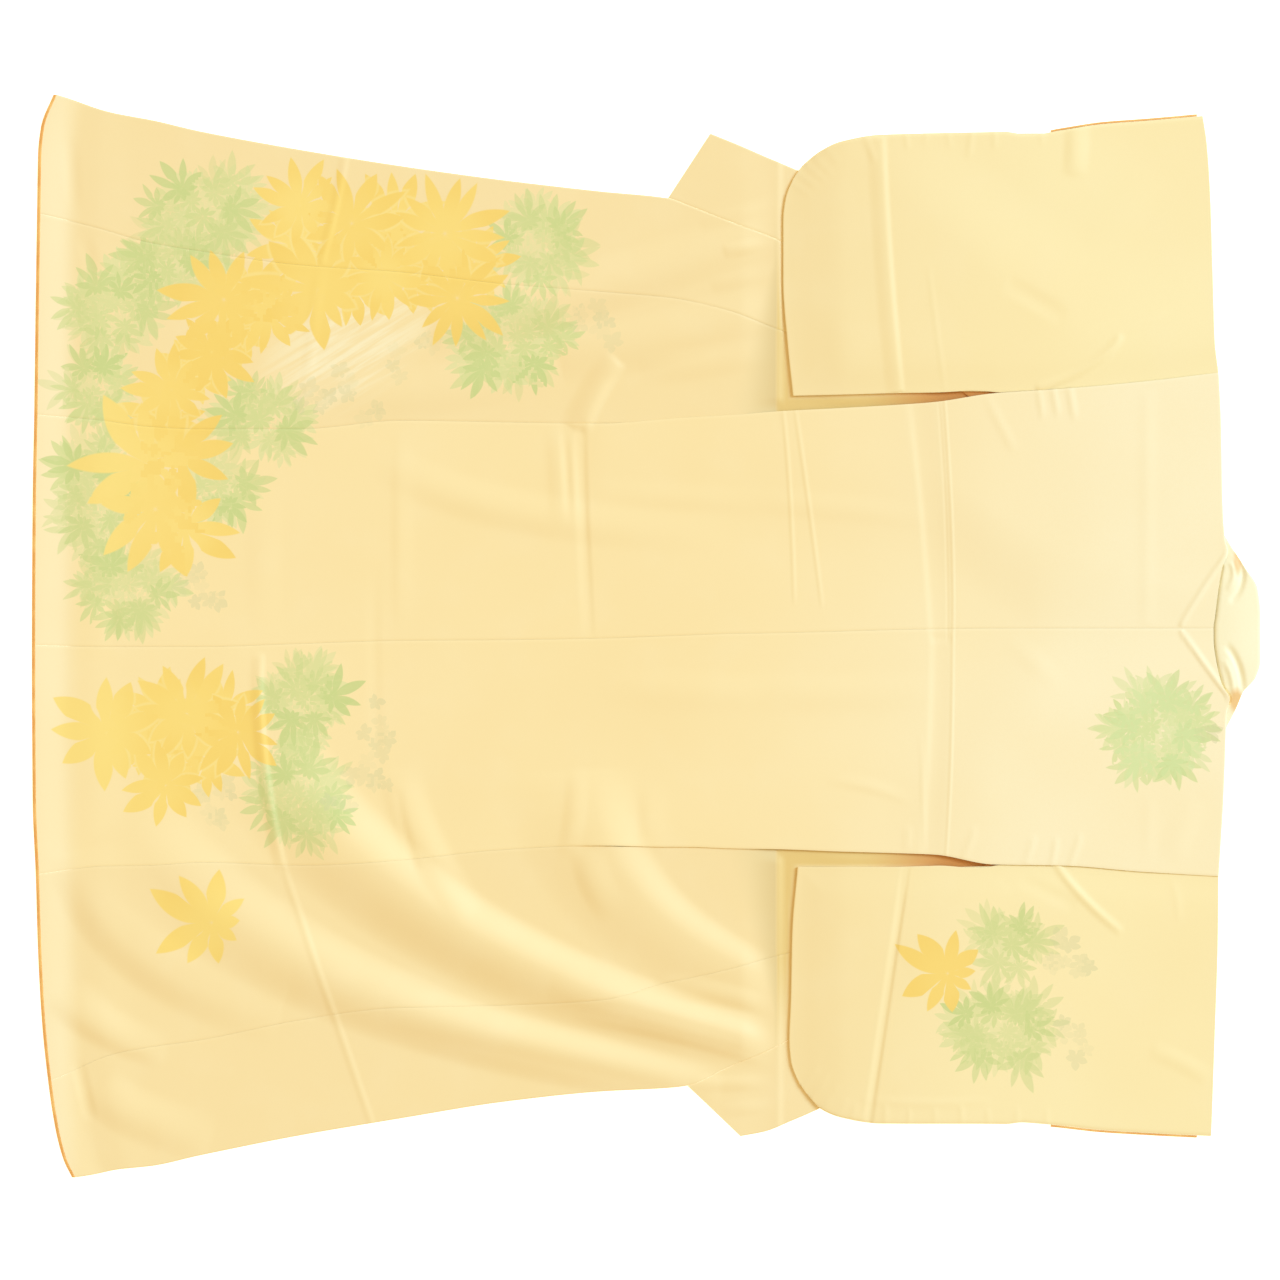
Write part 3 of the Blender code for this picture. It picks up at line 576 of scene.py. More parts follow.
# %% Yellow leaves and grey sprays
YELLOW_LEAVES = (
    (-450, 559, 68, 101, 0.8, 11, 0.135),
    (-383, 536, 81, 66, 0.78, 11, 0.135),
    (-262, 523, 88, -4, 0.86, 13, 0.115),
    (-246, 439, 78, 22, 0.85, 13, 0.115),
    (-427, 450, 104, 173, 0.55, 11, 0.14),
    (-341, 467, 60, -80, 0.85, 11, 0.14),
    (-549, 437, 88, 199, 0.7, 11, 0.135),
    (-492, 421, 60, -60, 0.85, 11, 0.14),
    (-565, 369, 68, -73, 0.8, 11, 0.14),
    (-617, 320, 65, 182, 0.85, 11, 0.14),
    (-645, 222, 114, 173, 0.6, 9, 0.145),
    (-609, 235, 81, -30, 0.85, 9, 0.15),
    (-638, 165, 101, 253, 0.6, 9, 0.145),
    (-600, 142, 78, -41, 0.7, 9, 0.145),
    (-701, -125, 81, 139, 0.9, 9, 0.175),
    (-597, -101, 81, 80, 0.8, 11, 0.14),
    (-531, -125, 70, -110, 0.78, 11, 0.14),
    (-625, -194, 65, 178, 0.8, 9, 0.165),
    (-564, -372, 92, 161, 0.44, 9, 0.155),
    (391, -438, 77, 161, 0.52, 9, 0.165),
)
UNDER_LEAVES = (
    (-450, 507, 75, 190, 0.8, 11, 0.14),
    (-392, 481, 70, 250, 0.85, 11, 0.14),
    (-326, 538, 73, 95, 0.85, 11, 0.14),
    (-305, 478, 70, 200, 0.9, 11, 0.15),
    (-383, 455, 60, -40, 0.85, 11, 0.15),
    (-515, 443, 60, 80, 0.8, 11, 0.15),
    (-531, 395, 52, 200, 0.85, 11, 0.16),
    (-586, 343, 57, 120, 0.85, 11, 0.16),
    (-626, 276, 68, 120, 0.8, 11, 0.16),
    (-658, -130, 57, -20, 0.9, 11, 0.16),
    (-552, -101, 62, 70, 0.8, 11, 0.14),
    (-632, -99, 60, 118, 0.8, 11, 0.15),
    (-573, -157, 57, -60, 0.85, 11, 0.15),
    (-619, -156, 57, -70, 0.85, 11, 0.15),
    (-224, 486, 60, 0, 0.9, 11, 0.14),
)
SPRAY_PLACES = (
    (-327, 356), (-357, 296), (-405, 307), (-444, 309), (-93, 413), (-63, 421), (-275, 372),
    (-600, 60), (-577, 78), (-366, -112), (-349, -146), (-376, -172), (-392, -214), (-580, -207),
    (-552, -198), (-561, -233), (543, -406), (525, -429), (564, -424), (551, -510), (566, -533),
    (727, -133), (-45, 393), (-560, 44), (-390, 330), (-340, -190), (-330, -128),
)
SPRAY_REACH, SPRAY_WIDTH = 18, 0.3

dice = np.random.default_rng(11)
SPRAYS = [(x + dice.normal(0, 10), y + dice.normal(0, 10), SPRAY_REACH * dice.uniform(0.7, 1.1),
           dice.uniform(0, 360), 0.7, 5, SPRAY_WIDTH) for x, y in SPRAY_PLACES for _ in range(3)]
print(len(YELLOW_LEAVES), "yellow leaves over", len(UNDER_LEAVES), "more,", len(SPRAYS), "sprays")

# %% [markdown]
# The green leaves are too many to place one by one. They fill patches: an ellipse each, over which the
# leaves are scattered on an uneven grid with their long lobes pointing outwards, as they do on the
# cloth. Three such layers give the massed look: a pale wide one, a slender one and a darker rim.

# %% Green leaves
PATCH_COLUMNS = ("x", "y", "long", "short", "turn")
GREEN_PATCHES = (
    (-574, 550, 86, 50, 15),
    (-619, 478, 73, 42, 10),
    (-691, 426, 60, 54, 0),
    (-717, 320, 47, 47, 0),
    (-716, 183, 47, 86, 0),
    (-674, 62, 66, 50, 0),
    (-500, 278, 70, 46, -25),
    (-552, 195, 38, 34, 0),
    (-138, 512, 55, 58, 0),
    (-171, 387, 86, 50, 20),
    (-450, -86, 50, 58, 0),
    (-450, -203, 66, 72, 0),
    (662, -122, 70, 62, 0),
    (470, -402, 46, 37, 0),
    (460, -512, 80, 50, 0),
)


def scattered(patches, apart, reach, width, even, rim=0.0, swing=22):
    """Leaves over each patch on an uneven grid, their long lobes pointing outwards."""
    leaves = []
    for patch in named(patches, PATCH_COLUMNS):
        turn = math.radians(patch["turn"])
        count = int(max(patch["long"], patch["short"]) / apart) + 1
        for i in range(-count, count + 1):
            for j in range(-count, count + 1):
                a = (i + 0.5 * (j % 2) + dice.uniform(-0.3, 0.3)) * apart
                b = (j * 0.87 + dice.uniform(-0.3, 0.3)) * apart
                size, sway = dice.uniform(0.75, 1.2), dice.normal(0, swing)
                if not rim < math.hypot(a / patch["long"], b / patch["short"]) < 0.84:
                    continue
                outwards = math.degrees(math.atan2(b / patch["short"], a / patch["long"]))
                x = patch["x"] + a * math.cos(turn) - b * math.sin(turn)
                y = patch["y"] + a * math.sin(turn) + b * math.cos(turn)
                leaves.append((x, y, reach * size, outwards + patch["turn"] + sway, even, 9, width))
    return leaves


PALE_LEAVES = scattered(GREEN_PATCHES, 23, 33, 0.15, 0.55, swing=60)
GREEN_LEAVES = scattered(GREEN_PATCHES, 26, 39, 0.125, 0.35, swing=30)
RIM_LEAVES = scattered(GREEN_PATCHES, 35, 42, 0.13, 0.3, rim=0.3, swing=20)
LEAF_LAYERS = {"pale": PALE_LEAVES, "green": GREEN_LEAVES, "rim": RIM_LEAVES, "spray": SPRAYS,
               "under": UNDER_LEAVES, "yellow": YELLOW_LEAVES}
print(len(PALE_LEAVES), "pale,", len(GREEN_LEAVES), "green and", len(RIM_LEAVES), "rim leaves")

# %% [markdown]
# A leaf layer is kept on the mesh as two vectors at each face corner. The first is the place in the
# leaf and its number of lobes, the second its lobe width, its evenness and a tone that also makes each
# leaf a little different. A face takes the leaf that it lies deepest in.

# %% Leaves on a mesh
NO_LEAF = (9.0, 0.0, 9.0, 0.1, 1.0, 0.0)


def lay_leaves(mesh):
    """Writes the leaf layers of a cloth mesh as attributes of its face corners."""
    points = np.empty(len(mesh.vertices) * 3)
    mesh.vertices.foreach_get("co", points)
    points = points.reshape(-1, 3)[:, :2] / MM
    corners = np.empty(len(mesh.loops), dtype=np.int32)
    mesh.loops.foreach_get("vertex_index", corners)
    sides = np.empty(len(mesh.polygons), dtype=np.int32)
    mesh.polygons.foreach_get("loop_total", sides)
    face_of = np.repeat(np.arange(len(sides)), sides)
    centres = np.stack([np.bincount(face_of, points[corners, axis]) / sides for axis in (0, 1)], axis=1)
    for layer, leaves in LEAF_LAYERS.items():
        deepest = np.full(len(sides), -1e9)
        chosen = np.full(len(sides), -1)
        for number, leaf in enumerate(named(leaves, LEAF_COLUMNS)):
            near = np.hypot(centres[:, 0] - leaf["x"], centres[:, 1] - leaf["y"]) < leaf["reach"] * 1.25
            if not near.any():
                continue
            u, v = leaf_place(centres[near], leaf)
            depth, _, _ = leaf_cover(u, v, float(leaf["lobes"]), leaf["width"], leaf["even"],
                                     tone_of(number), np)
            depth = depth * leaf["reach"]
            better = np.flatnonzero(near)[depth > deepest[near]]
            deepest[better] = depth[depth > deepest[near]]
            chosen[better] = number
        place = np.tile(NO_LEAF[:3], (len(corners), 1))
        form = np.tile(NO_LEAF[3:], (len(corners), 1))
        owner = chosen[face_of]
        for number in np.unique(chosen[chosen >= 0]):
            leaf = dict(zip(LEAF_COLUMNS, leaves[number]))
            held = owner == number
            u, v = leaf_place(points[corners[held]], leaf)
            place[held] = np.stack([u, v, np.full(len(u), float(leaf["lobes"]))], axis=1)
            form[held] = (leaf["width"], leaf["even"], tone_of(number))
        for name, values in ((layer + "_place", place), (layer + "_form", form)):
            attribute = mesh.attributes.new(name, "FLOAT_VECTOR", "CORNER")
            attribute.data.foreach_set("vector", values.astype(np.float32).ravel())


def leaf_place(points, leaf):
    """Points in mm, in a leaf's own coordinates, its longest lobe along u."""
    turn = math.radians(leaf["turn"])
    dx, dy = points[:, 0] - leaf["x"], points[:, 1] - leaf["y"]
    reach = leaf["reach"]
    return ((dx * math.cos(turn) + dy * math.sin(turn)) / reach,
            (dy * math.cos(turn) - dx * math.sin(turn)) / reach)


def tone_of(number):
    """A number between 0 and 1 that differs from leaf to leaf."""
    return number * 0.618034 % 1


print("layers:", ", ".join(LEAF_LAYERS))

# %% [markdown]
# ## Writing materials as sums
#
# A silk surface is a long sum of small effects, which reads best as one. The class below wraps the
# output of a shader node, so that adding or multiplying two of them adds the Math node that does it.

# %% Shader sums


class Wire:
    """The output of a shader node, to be used in a sum like a number."""

    def __init__(self, finish, socket):
        self.finish, self.socket = finish, socket

    def math(self, operation, *numbers):
        return self.finish.node("ShaderNodeMath", {"operation": operation}, dict(enumerate((self, *numbers))))

    def after(self, operation, number):
        return self.finish.node("ShaderNodeMath", {"operation": operation}, {0: number, 1: self})

    def __add__(self, other):
        return self.math("ADD", other)

    def __mul__(self, other):
        return self.math("MULTIPLY", other)

    def __sub__(self, other):
        return self.math("SUBTRACT", other)

    def __truediv__(self, other):
        return self.math("DIVIDE", other)

    def __pow__(self, other):
        return self.math("POWER", other)

    def __rsub__(self, other):
        return self.after("SUBTRACT", other)

    def __rtruediv__(self, other):
        return self.after("DIVIDE", other)

    __radd__, __rmul__ = __add__, __mul__

    def step(self, low, high):
        """0 below low, 1 above high, and a smooth step between."""
        return self.finish.node("ShaderNodeMapRange", {"interpolation_type": "SMOOTHSTEP"},
                                {"Value": self, "From Min": low, "From Max": high})


class ShaderMaths:
    """The functions of the leaf formula, for sockets instead of arrays."""
    arctan2 = staticmethod(lambda a, b: a.math("ARCTAN2", b))
    round = staticmethod(lambda a: a.math("ROUND"))
    sin = staticmethod(lambda a: a.math("SINE"))
    cos = staticmethod(lambda a: a.math("COSINE"))
    sqrt = staticmethod(lambda a: a.math("SQRT"))
    absolute = staticmethod(lambda a: a.math("ABSOLUTE"))
    minimum = staticmethod(lambda a, b: a.math("MINIMUM", b))
    maximum = staticmethod(lambda a, b: a.math("MAXIMUM", b))


class Finish:
    """A material whose nodes are added by calls."""

    def __init__(self, name, **constants):
        self.material = bpy.data.materials.new(name)
        self.material.use_nodes = True
        self.tree = self.material.node_tree
        self.shader = self.tree.nodes["Principled BSDF"]
        for socket, value in constants.items():
            self.shader.inputs[socket.replace("_", " ")].default_value = value
        self.place = self.node("ShaderNodeTexCoord", {}, {}, "Object")

    def node(self, kind, settings, inputs, output=0):
        """Adds a node: its settings first, then the values or links of its sockets."""
        made = self.tree.nodes.new(kind)
        for name, value in settings.items():
            setattr(made, name, value)
        for socket, value in inputs.items():
            self.feed(made.inputs[socket], value)
        return Wire(self, made.outputs[output])

    def feed(self, socket, value):
        if isinstance(value, Wire):
            self.tree.links.new(value.socket, socket)
        else:
            socket.default_value = value

    def mix(self, share, first, second):
        """A colour between two colours."""
        return self.node("ShaderNodeMix", {"data_type": "RGBA"},
                         {0: share, 6: first, 7: second}, 2)

    def noise(self, scale, detail=2.0, rough=0.5, stretch=(1, 1, 1), turn=0.0, shift=(0, 0, 0)):
        """Noise in metres on the cloth, drawn out and turned where asked."""
        mapped = self.node("ShaderNodeMapping", {"vector_type": "TEXTURE"}, {
            "Vector": self.place, "Location": shift, "Rotation": (0, 0, turn), "Scale": stretch})
        return self.node("ShaderNodeTexNoise", {}, {
            "Vector": mapped, "Scale": scale, "Detail": detail, "Roughness": rough})

    def vector(self, name):
        """The three numbers of a vector attribute."""
        held = self.node("ShaderNodeAttribute", {"attribute_name": name}, {}, "Vector")
        return [self.node("ShaderNodeSeparateXYZ", {}, {0: held}, axis) for axis in range(3)]

    def number(self, name):
        return self.node("ShaderNodeAttribute", {"attribute_name": name}, {}, "Fac")


def colour(red, green, blue):
    """A colour as it shows on a screen, 0 to 255, as the shader's own numbers."""
    def linear(value):
        value /= 255
        return value / 12.92 if value <= 0.04045 else ((value + 0.055) / 1.055) ** 2.4
    return (linear(red), linear(green), linear(blue), 1)


print("cream is", [round(c, 3) for c in colour(250, 229, 172)])

# %% [markdown]
# ## Silk
#
# The outer cloth is a cream crepe silk: matt, with a soft sheen and a fine pebbled weave. Real silk
# never has one even colour, so slow noise warms and cools it. Light is painted into it too: it is paler
# towards the shoulders, on the lamp's side, and a painted highlight runs along the doubled hem. The dyed
# layers come on top: a brushed white ground, three layers of green leaves, grey sprays, and the yellow
# leaves, of which the upper ones have a pale rim where they lie over others. The weave is a bump of a
# fraction of a millimetre, because it is far too fine for the mesh. Where a piece can be seen under or
# beside a sleeve, shade is painted on: dull in front of the sleeve's foot, golden behind it, and then the
# lining's colour, painted deeper as in shade.

# %% Silk
CREAM, CREAM_SIDE, CREAM_PALE = colour(252, 230, 173), colour(249, 226, 170), colour(253, 237, 192)
# Painted light: the whitest cream of the back and the palest of the sleeves make the silk paler towards the
# shoulders, on the lamp's side. The neck's cream is a painted highlight.
CREAM_WARM, PAINTED_LIGHT_CREAM, NECK_PAINTED_HIGHLIGHT = colour(250, 224, 160), colour(254, 242, 202), colour(255, 249, 212)
SLEEVE_CREAM, SLEEVE_PAINTED_LIGHT = colour(247, 224, 167), colour(253, 238, 184)
PALE_GREEN, LIGHT_GREEN, DEEP_GREEN = colour(226, 226, 162), colour(213, 220, 148), colour(203, 215, 140)
YELLOW, YELLOW_DEEP, YELLOW_LIGHT = colour(251, 219, 119), colour(247, 210, 104), colour(253, 228, 136)
SPRAY_GREY, WASH, YELLOW_PALE = colour(208, 208, 158), colour(253, 241, 200), colour(253, 236, 164)
MINT = colour(224, 246, 190)
LINING, LINING_DEEP = colour(250, 202, 120), colour(238, 176, 92)
# painted shade: gold for cloth under a sleeve, and a dull grey-green in front of its foot
PAINTED_SHADE_GOLD, PAINTED_SHADE_DULL = colour(234, 203, 128), colour(212, 193, 134)
# The front's lining colour is the lining seen far up the slit, painted deeper as in shade.
LINING_IN_PAINTED_SHADE, LINING_NECK = colour(214, 146, 72), colour(244, 204, 140)
# painted light: between these places the silk is made paler towards the shoulders
PAINTED_LIGHT_FROM, PAINTED_LIGHT_TO = 0.05, 0.62  # metres along, between which the silk turns paler to the shoulders
HEM_PAINTED_HIGHLIGHT = (-0.765, -0.73)  # metres along, up to where a painted highlight makes the hem paler
LIGHTER_YELLOW = (-0.71, -0.6)  # metres along, up to where the yellow dye is lighter
DYE_EDGE = 0.014  # half the softness of a leaf's edge, in leaf lengths


def weave_bump(finish, strength=0.25, depth=0.00012):
    """The pebbled crepe weave: crossed fine ripples broken up by noise."""
    ripple = [finish.node("ShaderNodeTexWave", {"bands_direction": axis}, {
        "Vector": finish.place, "Scale": 320.0, "Distortion": 3.0, "Detail": 1.0, "Detail Scale": 2.0})
        for axis in ("X", "Y")]
    pebbles = finish.noise(900.0, 1.0)
    fabric = ripple[0] * 0.3 + ripple[1] * 0.3 + pebbles * 0.6
    return finish.node("ShaderNodeBump", {}, {
        "Strength": strength, "Distance": depth, "Height": fabric})


GREEN_DYES = (  # layer, then how much of its dye: at least, by the leaf's tone, by the mottling
    ("pale", 0.35, 0.4, 0.15, PALE_GREEN),
    ("green", 0.25, 0.5, 0.2, LIGHT_GREEN),
    ("rim", 0.25, 0.65, 0, DEEP_GREEN),
)
SHOULDER_PATCH = (0.52, 0.62)  # metres along, up to where the green turns to mint


def leaf_mask(finish, layer):
    """Where a layer of leaves is dyed, its tone, the shade of each lobe, how far out, and a rim outside."""
    u, v, lobes = finish.vector(layer + "_place")
    width, even, tone = finish.vector(layer + "_form")
    depth, lobe, distance = leaf_cover(u, v, lobes, width, even, tone, ShaderMaths)
    outer = distance.step(0.15, 0.75)
    shade = (0.5 + 0.5 * ShaderMaths.sin(lobe * 2.7 + tone * 50.0)) * outer
    halo = depth.step(-0.06, -0.025)
    return depth.step(-DYE_EDGE, DYE_EDGE), tone, shade, outer, halo


def green_dye(finish, base, along):
    """Lays the three green layers over a colour. The patch at the shoulder is a cooler mint."""
    mottle = finish.noise(45.0, 2.0)
    green = 0
    for layer, least, by_tone, by_mottle, dye in GREEN_DYES:
        mask, tone, *_ = leaf_mask(finish, layer)
        base = finish.mix(mask * (least + tone * by_tone + mottle * by_mottle), base, dye)
        green = mask + green
    return finish.mix(green * along.step(*SHOULDER_PATCH) * 0.13, base, MINT)


def yellow_dye(finish, base, layer, nearer_hem, over=None):
    """Lays yellow leaves over a colour, each a little different, with a pale rim over leaves below."""
    mask, tone, shade, outer, halo = leaf_mask(finish, layer)
    if over:
        base = finish.mix(halo * over * 0.35, base, YELLOW_PALE)
    leaf = finish.mix(tone * 0.5, YELLOW, YELLOW_DEEP)
    leaf = finish.mix(shade * 0.5, leaf, YELLOW_DEEP)
    leaf = finish.mix((1 - outer) * (1 - tone) * 0.45, leaf, YELLOW_LIGHT)
    leaf = finish.mix(nearer_hem * 0.6, leaf, YELLOW_LIGHT)
    return finish.mix(mask * 0.97, base, leaf), mask


def silk(name, cream, pale, dyed, turned=None):
    """Cream silk with painted light that makes it paler towards the shoulders and a painted highlight along
    the hem, with or without the leaf pattern, and with or without painted shade under a sleeve and the
    lining's colour.
    """
    finish = Finish(name, Roughness=0.55, Sheen_Weight=0.2, Sheen_Roughness=0.4)
    along = finish.node("ShaderNodeSeparateXYZ", {}, {0: finish.place}, 0)
    slow = finish.noise(3.2, 2.0, shift=(4, 1, 0))
    cloudy = finish.noise(14.0, 3.0)
    grain = finish.noise(420.0, 2.0, 0.7)
    # painted light: paler towards the shoulders, on the lamp's side
    base = finish.mix(along.step(PAINTED_LIGHT_FROM, PAINTED_LIGHT_TO), cream, pale)
    # painted highlight: a pale band along the doubled hem
    base = finish.mix((1 - along.step(*HEM_PAINTED_HIGHLIGHT)) * 0.8, base, CREAM_PALE)
    base = finish.mix(slow.step(0.35, 0.65) * 0.22, base, CREAM_WARM)
    base = finish.mix(cloudy.step(0.45, 0.75) * 0.12, base, CREAM_PALE)
    base = finish.mix(grain.step(0.3, 0.8) * 0.1, base, CREAM_WARM)
    rough = 0.5 + cloudy * 0.1
    if dyed:
        strokes = finish.noise(55.0, 3.0, 0.6, stretch=(7.0, 0.5, 1), turn=math.radians(31))
        wash = finish.number("wash") * (0.12 + strokes.step(0.4, 0.62) * 0.75)
        base = finish.mix(wash, base, WASH)
        base = green_dye(finish, base, along)
        spray, tone, *_ = leaf_mask(finish, "spray")
        base = finish.mix(spray * (0.1 + tone * 0.3), base, SPRAY_GREY)
        nearer_hem = 1 - along.step(*LIGHTER_YELLOW)
        base, under = yellow_dye(finish, base, "under", nearer_hem)
        base, _ = yellow_dye(finish, base, "yellow", nearer_hem, under)
    # painted shade under and beside a sleeve, then the lining's colour, painted deeper as in shade, far up
    # the slit
    if turned:
        base = finish.mix(finish.number("painted_dull_shade") * 0.42, base, PAINTED_SHADE_DULL)
        base = finish.mix(finish.number("shade"), base, PAINTED_SHADE_GOLD)
        base = finish.mix(finish.number("lining"), base, turned)
    finish.feed(finish.shader.inputs["Base Color"], base)
    finish.feed(finish.shader.inputs["Roughness"], rough)
    finish.feed(finish.shader.inputs["Normal"], weave_bump(finish))
    return finish.material


SILK_BACK = silk("silk_back", CREAM, PAINTED_LIGHT_CREAM, True)
# fronts, overlaps and collar ends carry the painted shade of the sleeves
SILK_SIDE = silk("silk_side", CREAM_SIDE, CREAM_PALE, True, LINING_IN_PAINTED_SHADE)
SILK_COLLAR = silk("silk_collar", CREAM_SIDE, CREAM_PALE, False, LINING_IN_PAINTED_SHADE)
# painted highlight: the whole collar round the neck gets a paler cream, as where the light catches its roll
SILK_NECK = silk("silk_neck", NECK_PAINTED_HIGHLIGHT, NECK_PAINTED_HIGHLIGHT, False, LINING_NECK)
SILK_SLEEVE = {"left": silk("silk_sleeve_plain", SLEEVE_CREAM, SLEEVE_PAINTED_LIGHT, False),
               "right": silk("silk_sleeve_dyed", SLEEVE_CREAM, SLEEVE_PAINTED_LIGHT, True)}
print("silk nodes:", len(SILK_BACK.node_tree.nodes), "dyed,", len(SILK_COLLAR.node_tree.nodes), "plain")

# %% [markdown]
# The lining is a plainer orange silk. Only its rolled edge shows, at the hem and the sleeve openings,
# where it is worn paler in places.

# %% Lining silk


def lining_silk():
    finish = Finish("silk_lining", Roughness=0.5, Sheen_Weight=0.2, Sheen_Roughness=0.4)
    worn = finish.noise(40.0, 3.0).step(0.35, 0.7)
    base = finish.mix(worn, LINING_DEEP, LINING)
    finish.feed(finish.shader.inputs["Base Color"], base)
    finish.feed(finish.shader.inputs["Roughness"], 0.45 + worn * 0.15)
    finish.feed(finish.shader.inputs["Normal"], weave_bump(finish, 0.35))
    return finish.material


SILK_LINING = lining_silk()
print("lining nodes:", len(SILK_LINING.node_tree.nodes))

# %% [markdown]
# ## Cloth from a grid
#
# A panel is a grid between two seams. Its columns are close together beside the seams, where the edge
# turns down, and its rows are close where a sharp crease crosses. The grid is Blender's own, and numpy
# moves its points onto the curves. A Solidify modifier then gives the cloth its wall.

# %% Cloth grids
EDGE_STEPS = (0, 0.7, 1.5, 2.8, 5.0)  # distance of the first columns from a seam, in mm


def stations(spacings, start, end):
    """Places from start to end, as far apart as the table says from each place on, all in mm."""
    places = [start]
    while places[-1] < end:
        apart = [gap for place, gap in spacings if place <= places[-1] + 1e-6][-1]
        places.append(places[-1] + apart)
    places[-1] = end
    if places[-1] - places[-2] < 1:
        del places[-2]
    return np.array(places) * MM


def columns_between(count):
    """Shares across a panel and offsets in metres from the edge that the share starts at."""
    steps = np.array(EDGE_STEPS) * MM
    inner = [(0.0, step) for step in steps]
    middle = [(share, steps[-1] * (1 - 2 * share)) for share in np.linspace(0, 1, count + 2)[1:-1]]
    outer = [(1.0, -step) for step in steps[::-1]]
    return np.array(inner + middle + outer)


GAP = 0.1 * MM  # between two visible cloths at a seam
CRISP = 50  # degrees, from which a turn of the surface is drawn as an edge
NARROW = 24 * MM  # width of a panel below which its first columns move closer together


def dip(depth, reach):
    """How far the cloth turns down at a distance from its edge, for a depth and a reach in mm."""
    return lambda distance: depth * MM * (1 - ramp(distance, 0, reach))


seam_dip, edge_dip = dip(0.32, 2.2), dip(0.5, 1.3)  # beside a sewn seam, and at a free edge


def cloth_object(name, place, material, dyed=False, extra=None):
    """A mesh object from an array of points, rows by columns, with its outside up.

    The grid is made from -1 to 1 each way, which tells the row and column of each of its vertices.
    """
    rows, columns = place.shape[:2]
    grid = bmesh.new()
    bmesh.ops.create_grid(grid, x_segments=rows - 1, y_segments=columns - 1, size=1)
    mesh = bpy.data.meshes.new(name)
    grid.to_mesh(mesh)
    grid.free()
    where = np.empty(len(mesh.vertices) * 3)
    mesh.vertices.foreach_get("co", where)
    where = where.reshape(-1, 3)
    row = np.rint((where[:, 0] + 1) / 2 * (rows - 1)).astype(int)
    column = np.rint((where[:, 1] + 1) / 2 * (columns - 1)).astype(int)
    mesh.vertices.foreach_set("co", place[row, column].ravel())
    mesh.update()
    if np.cross(place[1, 0] - place[0, 0], place[0, 1] - place[0, 0])[2] < 0:
        mesh.flip_normals()
    for attribute, values in (extra or {}).items():
        kept = mesh.attributes.new(attribute, "FLOAT", "POINT")
        kept.data.foreach_set("value", values[row, column].astype(np.float32))
    if dyed:
        lay_leaves(mesh)
    mesh.materials.append(material)
    mesh.shade_smooth()
    piece = bpy.data.objects.new(name, mesh)
    bpy.context.scene.collection.objects.link(piece)
    return piece


def give_wall(piece, thickness=SHELL):
    """Gives a surface its wall, with crisp edges where the wall turns round a cut edge."""
    wall = piece.modifiers.new("wall", "SOLIDIFY")
    wall.thickness = thickness
    wall.offset = -1
    wall.use_even_offset = False
    surface = piece.data
    piece.data = bpy.data.meshes.new_from_object(piece.evaluated_get(bpy.context.evaluated_depsgraph_get()))
    piece.modifiers.clear()
    bpy.data.meshes.remove(surface)
    piece.data.set_sharp_from_angle(angle=math.radians(CRISP))
    return piece


def tell(pieces):
    """Prints how fine each finished piece is."""
    for piece in pieces:
        print(piece.name, len(piece.data.polygons), "faces")


WASH_MIDDLE, WASH_LONG, WASH_WIDE = (-385 * MM, 380 * MM), 135 * MM, 74 * MM
WASH_TURN = (0.82, 0.57)  # cosine and sine of its direction


def wash_at(x, y):
    """The brushed white of the ground inside the arc of leaves: an ellipse that fades outwards."""
    x, y = x - WASH_MIDDLE[0], y - WASH_MIDDLE[1]
    along = x * WASH_TURN[0] + y * WASH_TURN[1]
    across = y * WASH_TURN[0] - x * WASH_TURN[1]
    return np.clip(1.15 - (along / WASH_LONG) ** 2 - (across / WASH_WIDE) ** 2, 0, 1)


def under_sleeve(points):
    """Attributes of the cloth beside and under a sleeve.

    Painted shade: dull in front of the sleeve's foot and golden behind it, with less of it close to
    the sleeve's own edge, where the lamp's own shadow falls. Far up the slit the cloth takes the
    lining's colour, painted deeper as in shade.
    """
    x, y = points[..., 0], points[..., 1]
    aside = np.abs(y)
    # painted dull shade in front of the sleeve's foot, in a wedge that widens towards the body
    start = np.minimum(100 * MM + (aside - 290 * MM) * 0.32, SHADE_FROM - 8 * MM)
    near = ease((x - start) / (SHADE_FROM - start)) * (1 - ramp(aside, 420, 150))
    below = ease((x - SHADE_FROM) / (2.5 * MM) + 0.9)
    beside = beside_back(x, y) - np.where(y > 0, slit["left"](x), slit["right"](x))
    foot = np.where(y > 0, foot_line["left"](aside), foot_line["right"](aside))
    # less painted shade close to the sleeve's edge, where the lamp's own shadow already falls
    at_edge = np.minimum(ramp(x - foot, -7, 7), ramp(beside, -6, 6))
    return {"wash": wash_at(x, y), "painted_dull_shade": near * (1 - below),
            "shade": (1 - ramp(aside, 400, 150)) * below * (1 - 0.7 * at_edge), "lining": ramp(x, 270, 135)}


def declare(piece, node):
    """Says which solid a cloth piece stands for: it hides that solid and hangs the piece from the root."""
    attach(piece, "root")
    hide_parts(node)


def panel_points(rows, columns, inner, outer, height, bend=bend_ends, dips=(seam_dip, seam_dip)):
    """The top surface of a panel between two edges, with its seams turned down."""
    along = rows[:, None]
    first, last = inner(along), outer(along)
    share, offset = columns[:, 0][None, :], columns[:, 1][None, :]
    width = np.abs(last - first)
    narrow = np.minimum(1, width / NARROW)
    y = first + (last - first) * share + np.sign(last - first) * offset * narrow
    x = bend(along + 0 * y, y)
    z = height(x, y) + CLOTH
    z = z - dips[0](np.abs(y - first)) - dips[1](np.abs(last - y))
    return np.stack([x, y, z], axis=2)


print(len(columns_between(60)), "columns in a panel with 60 between its edges")

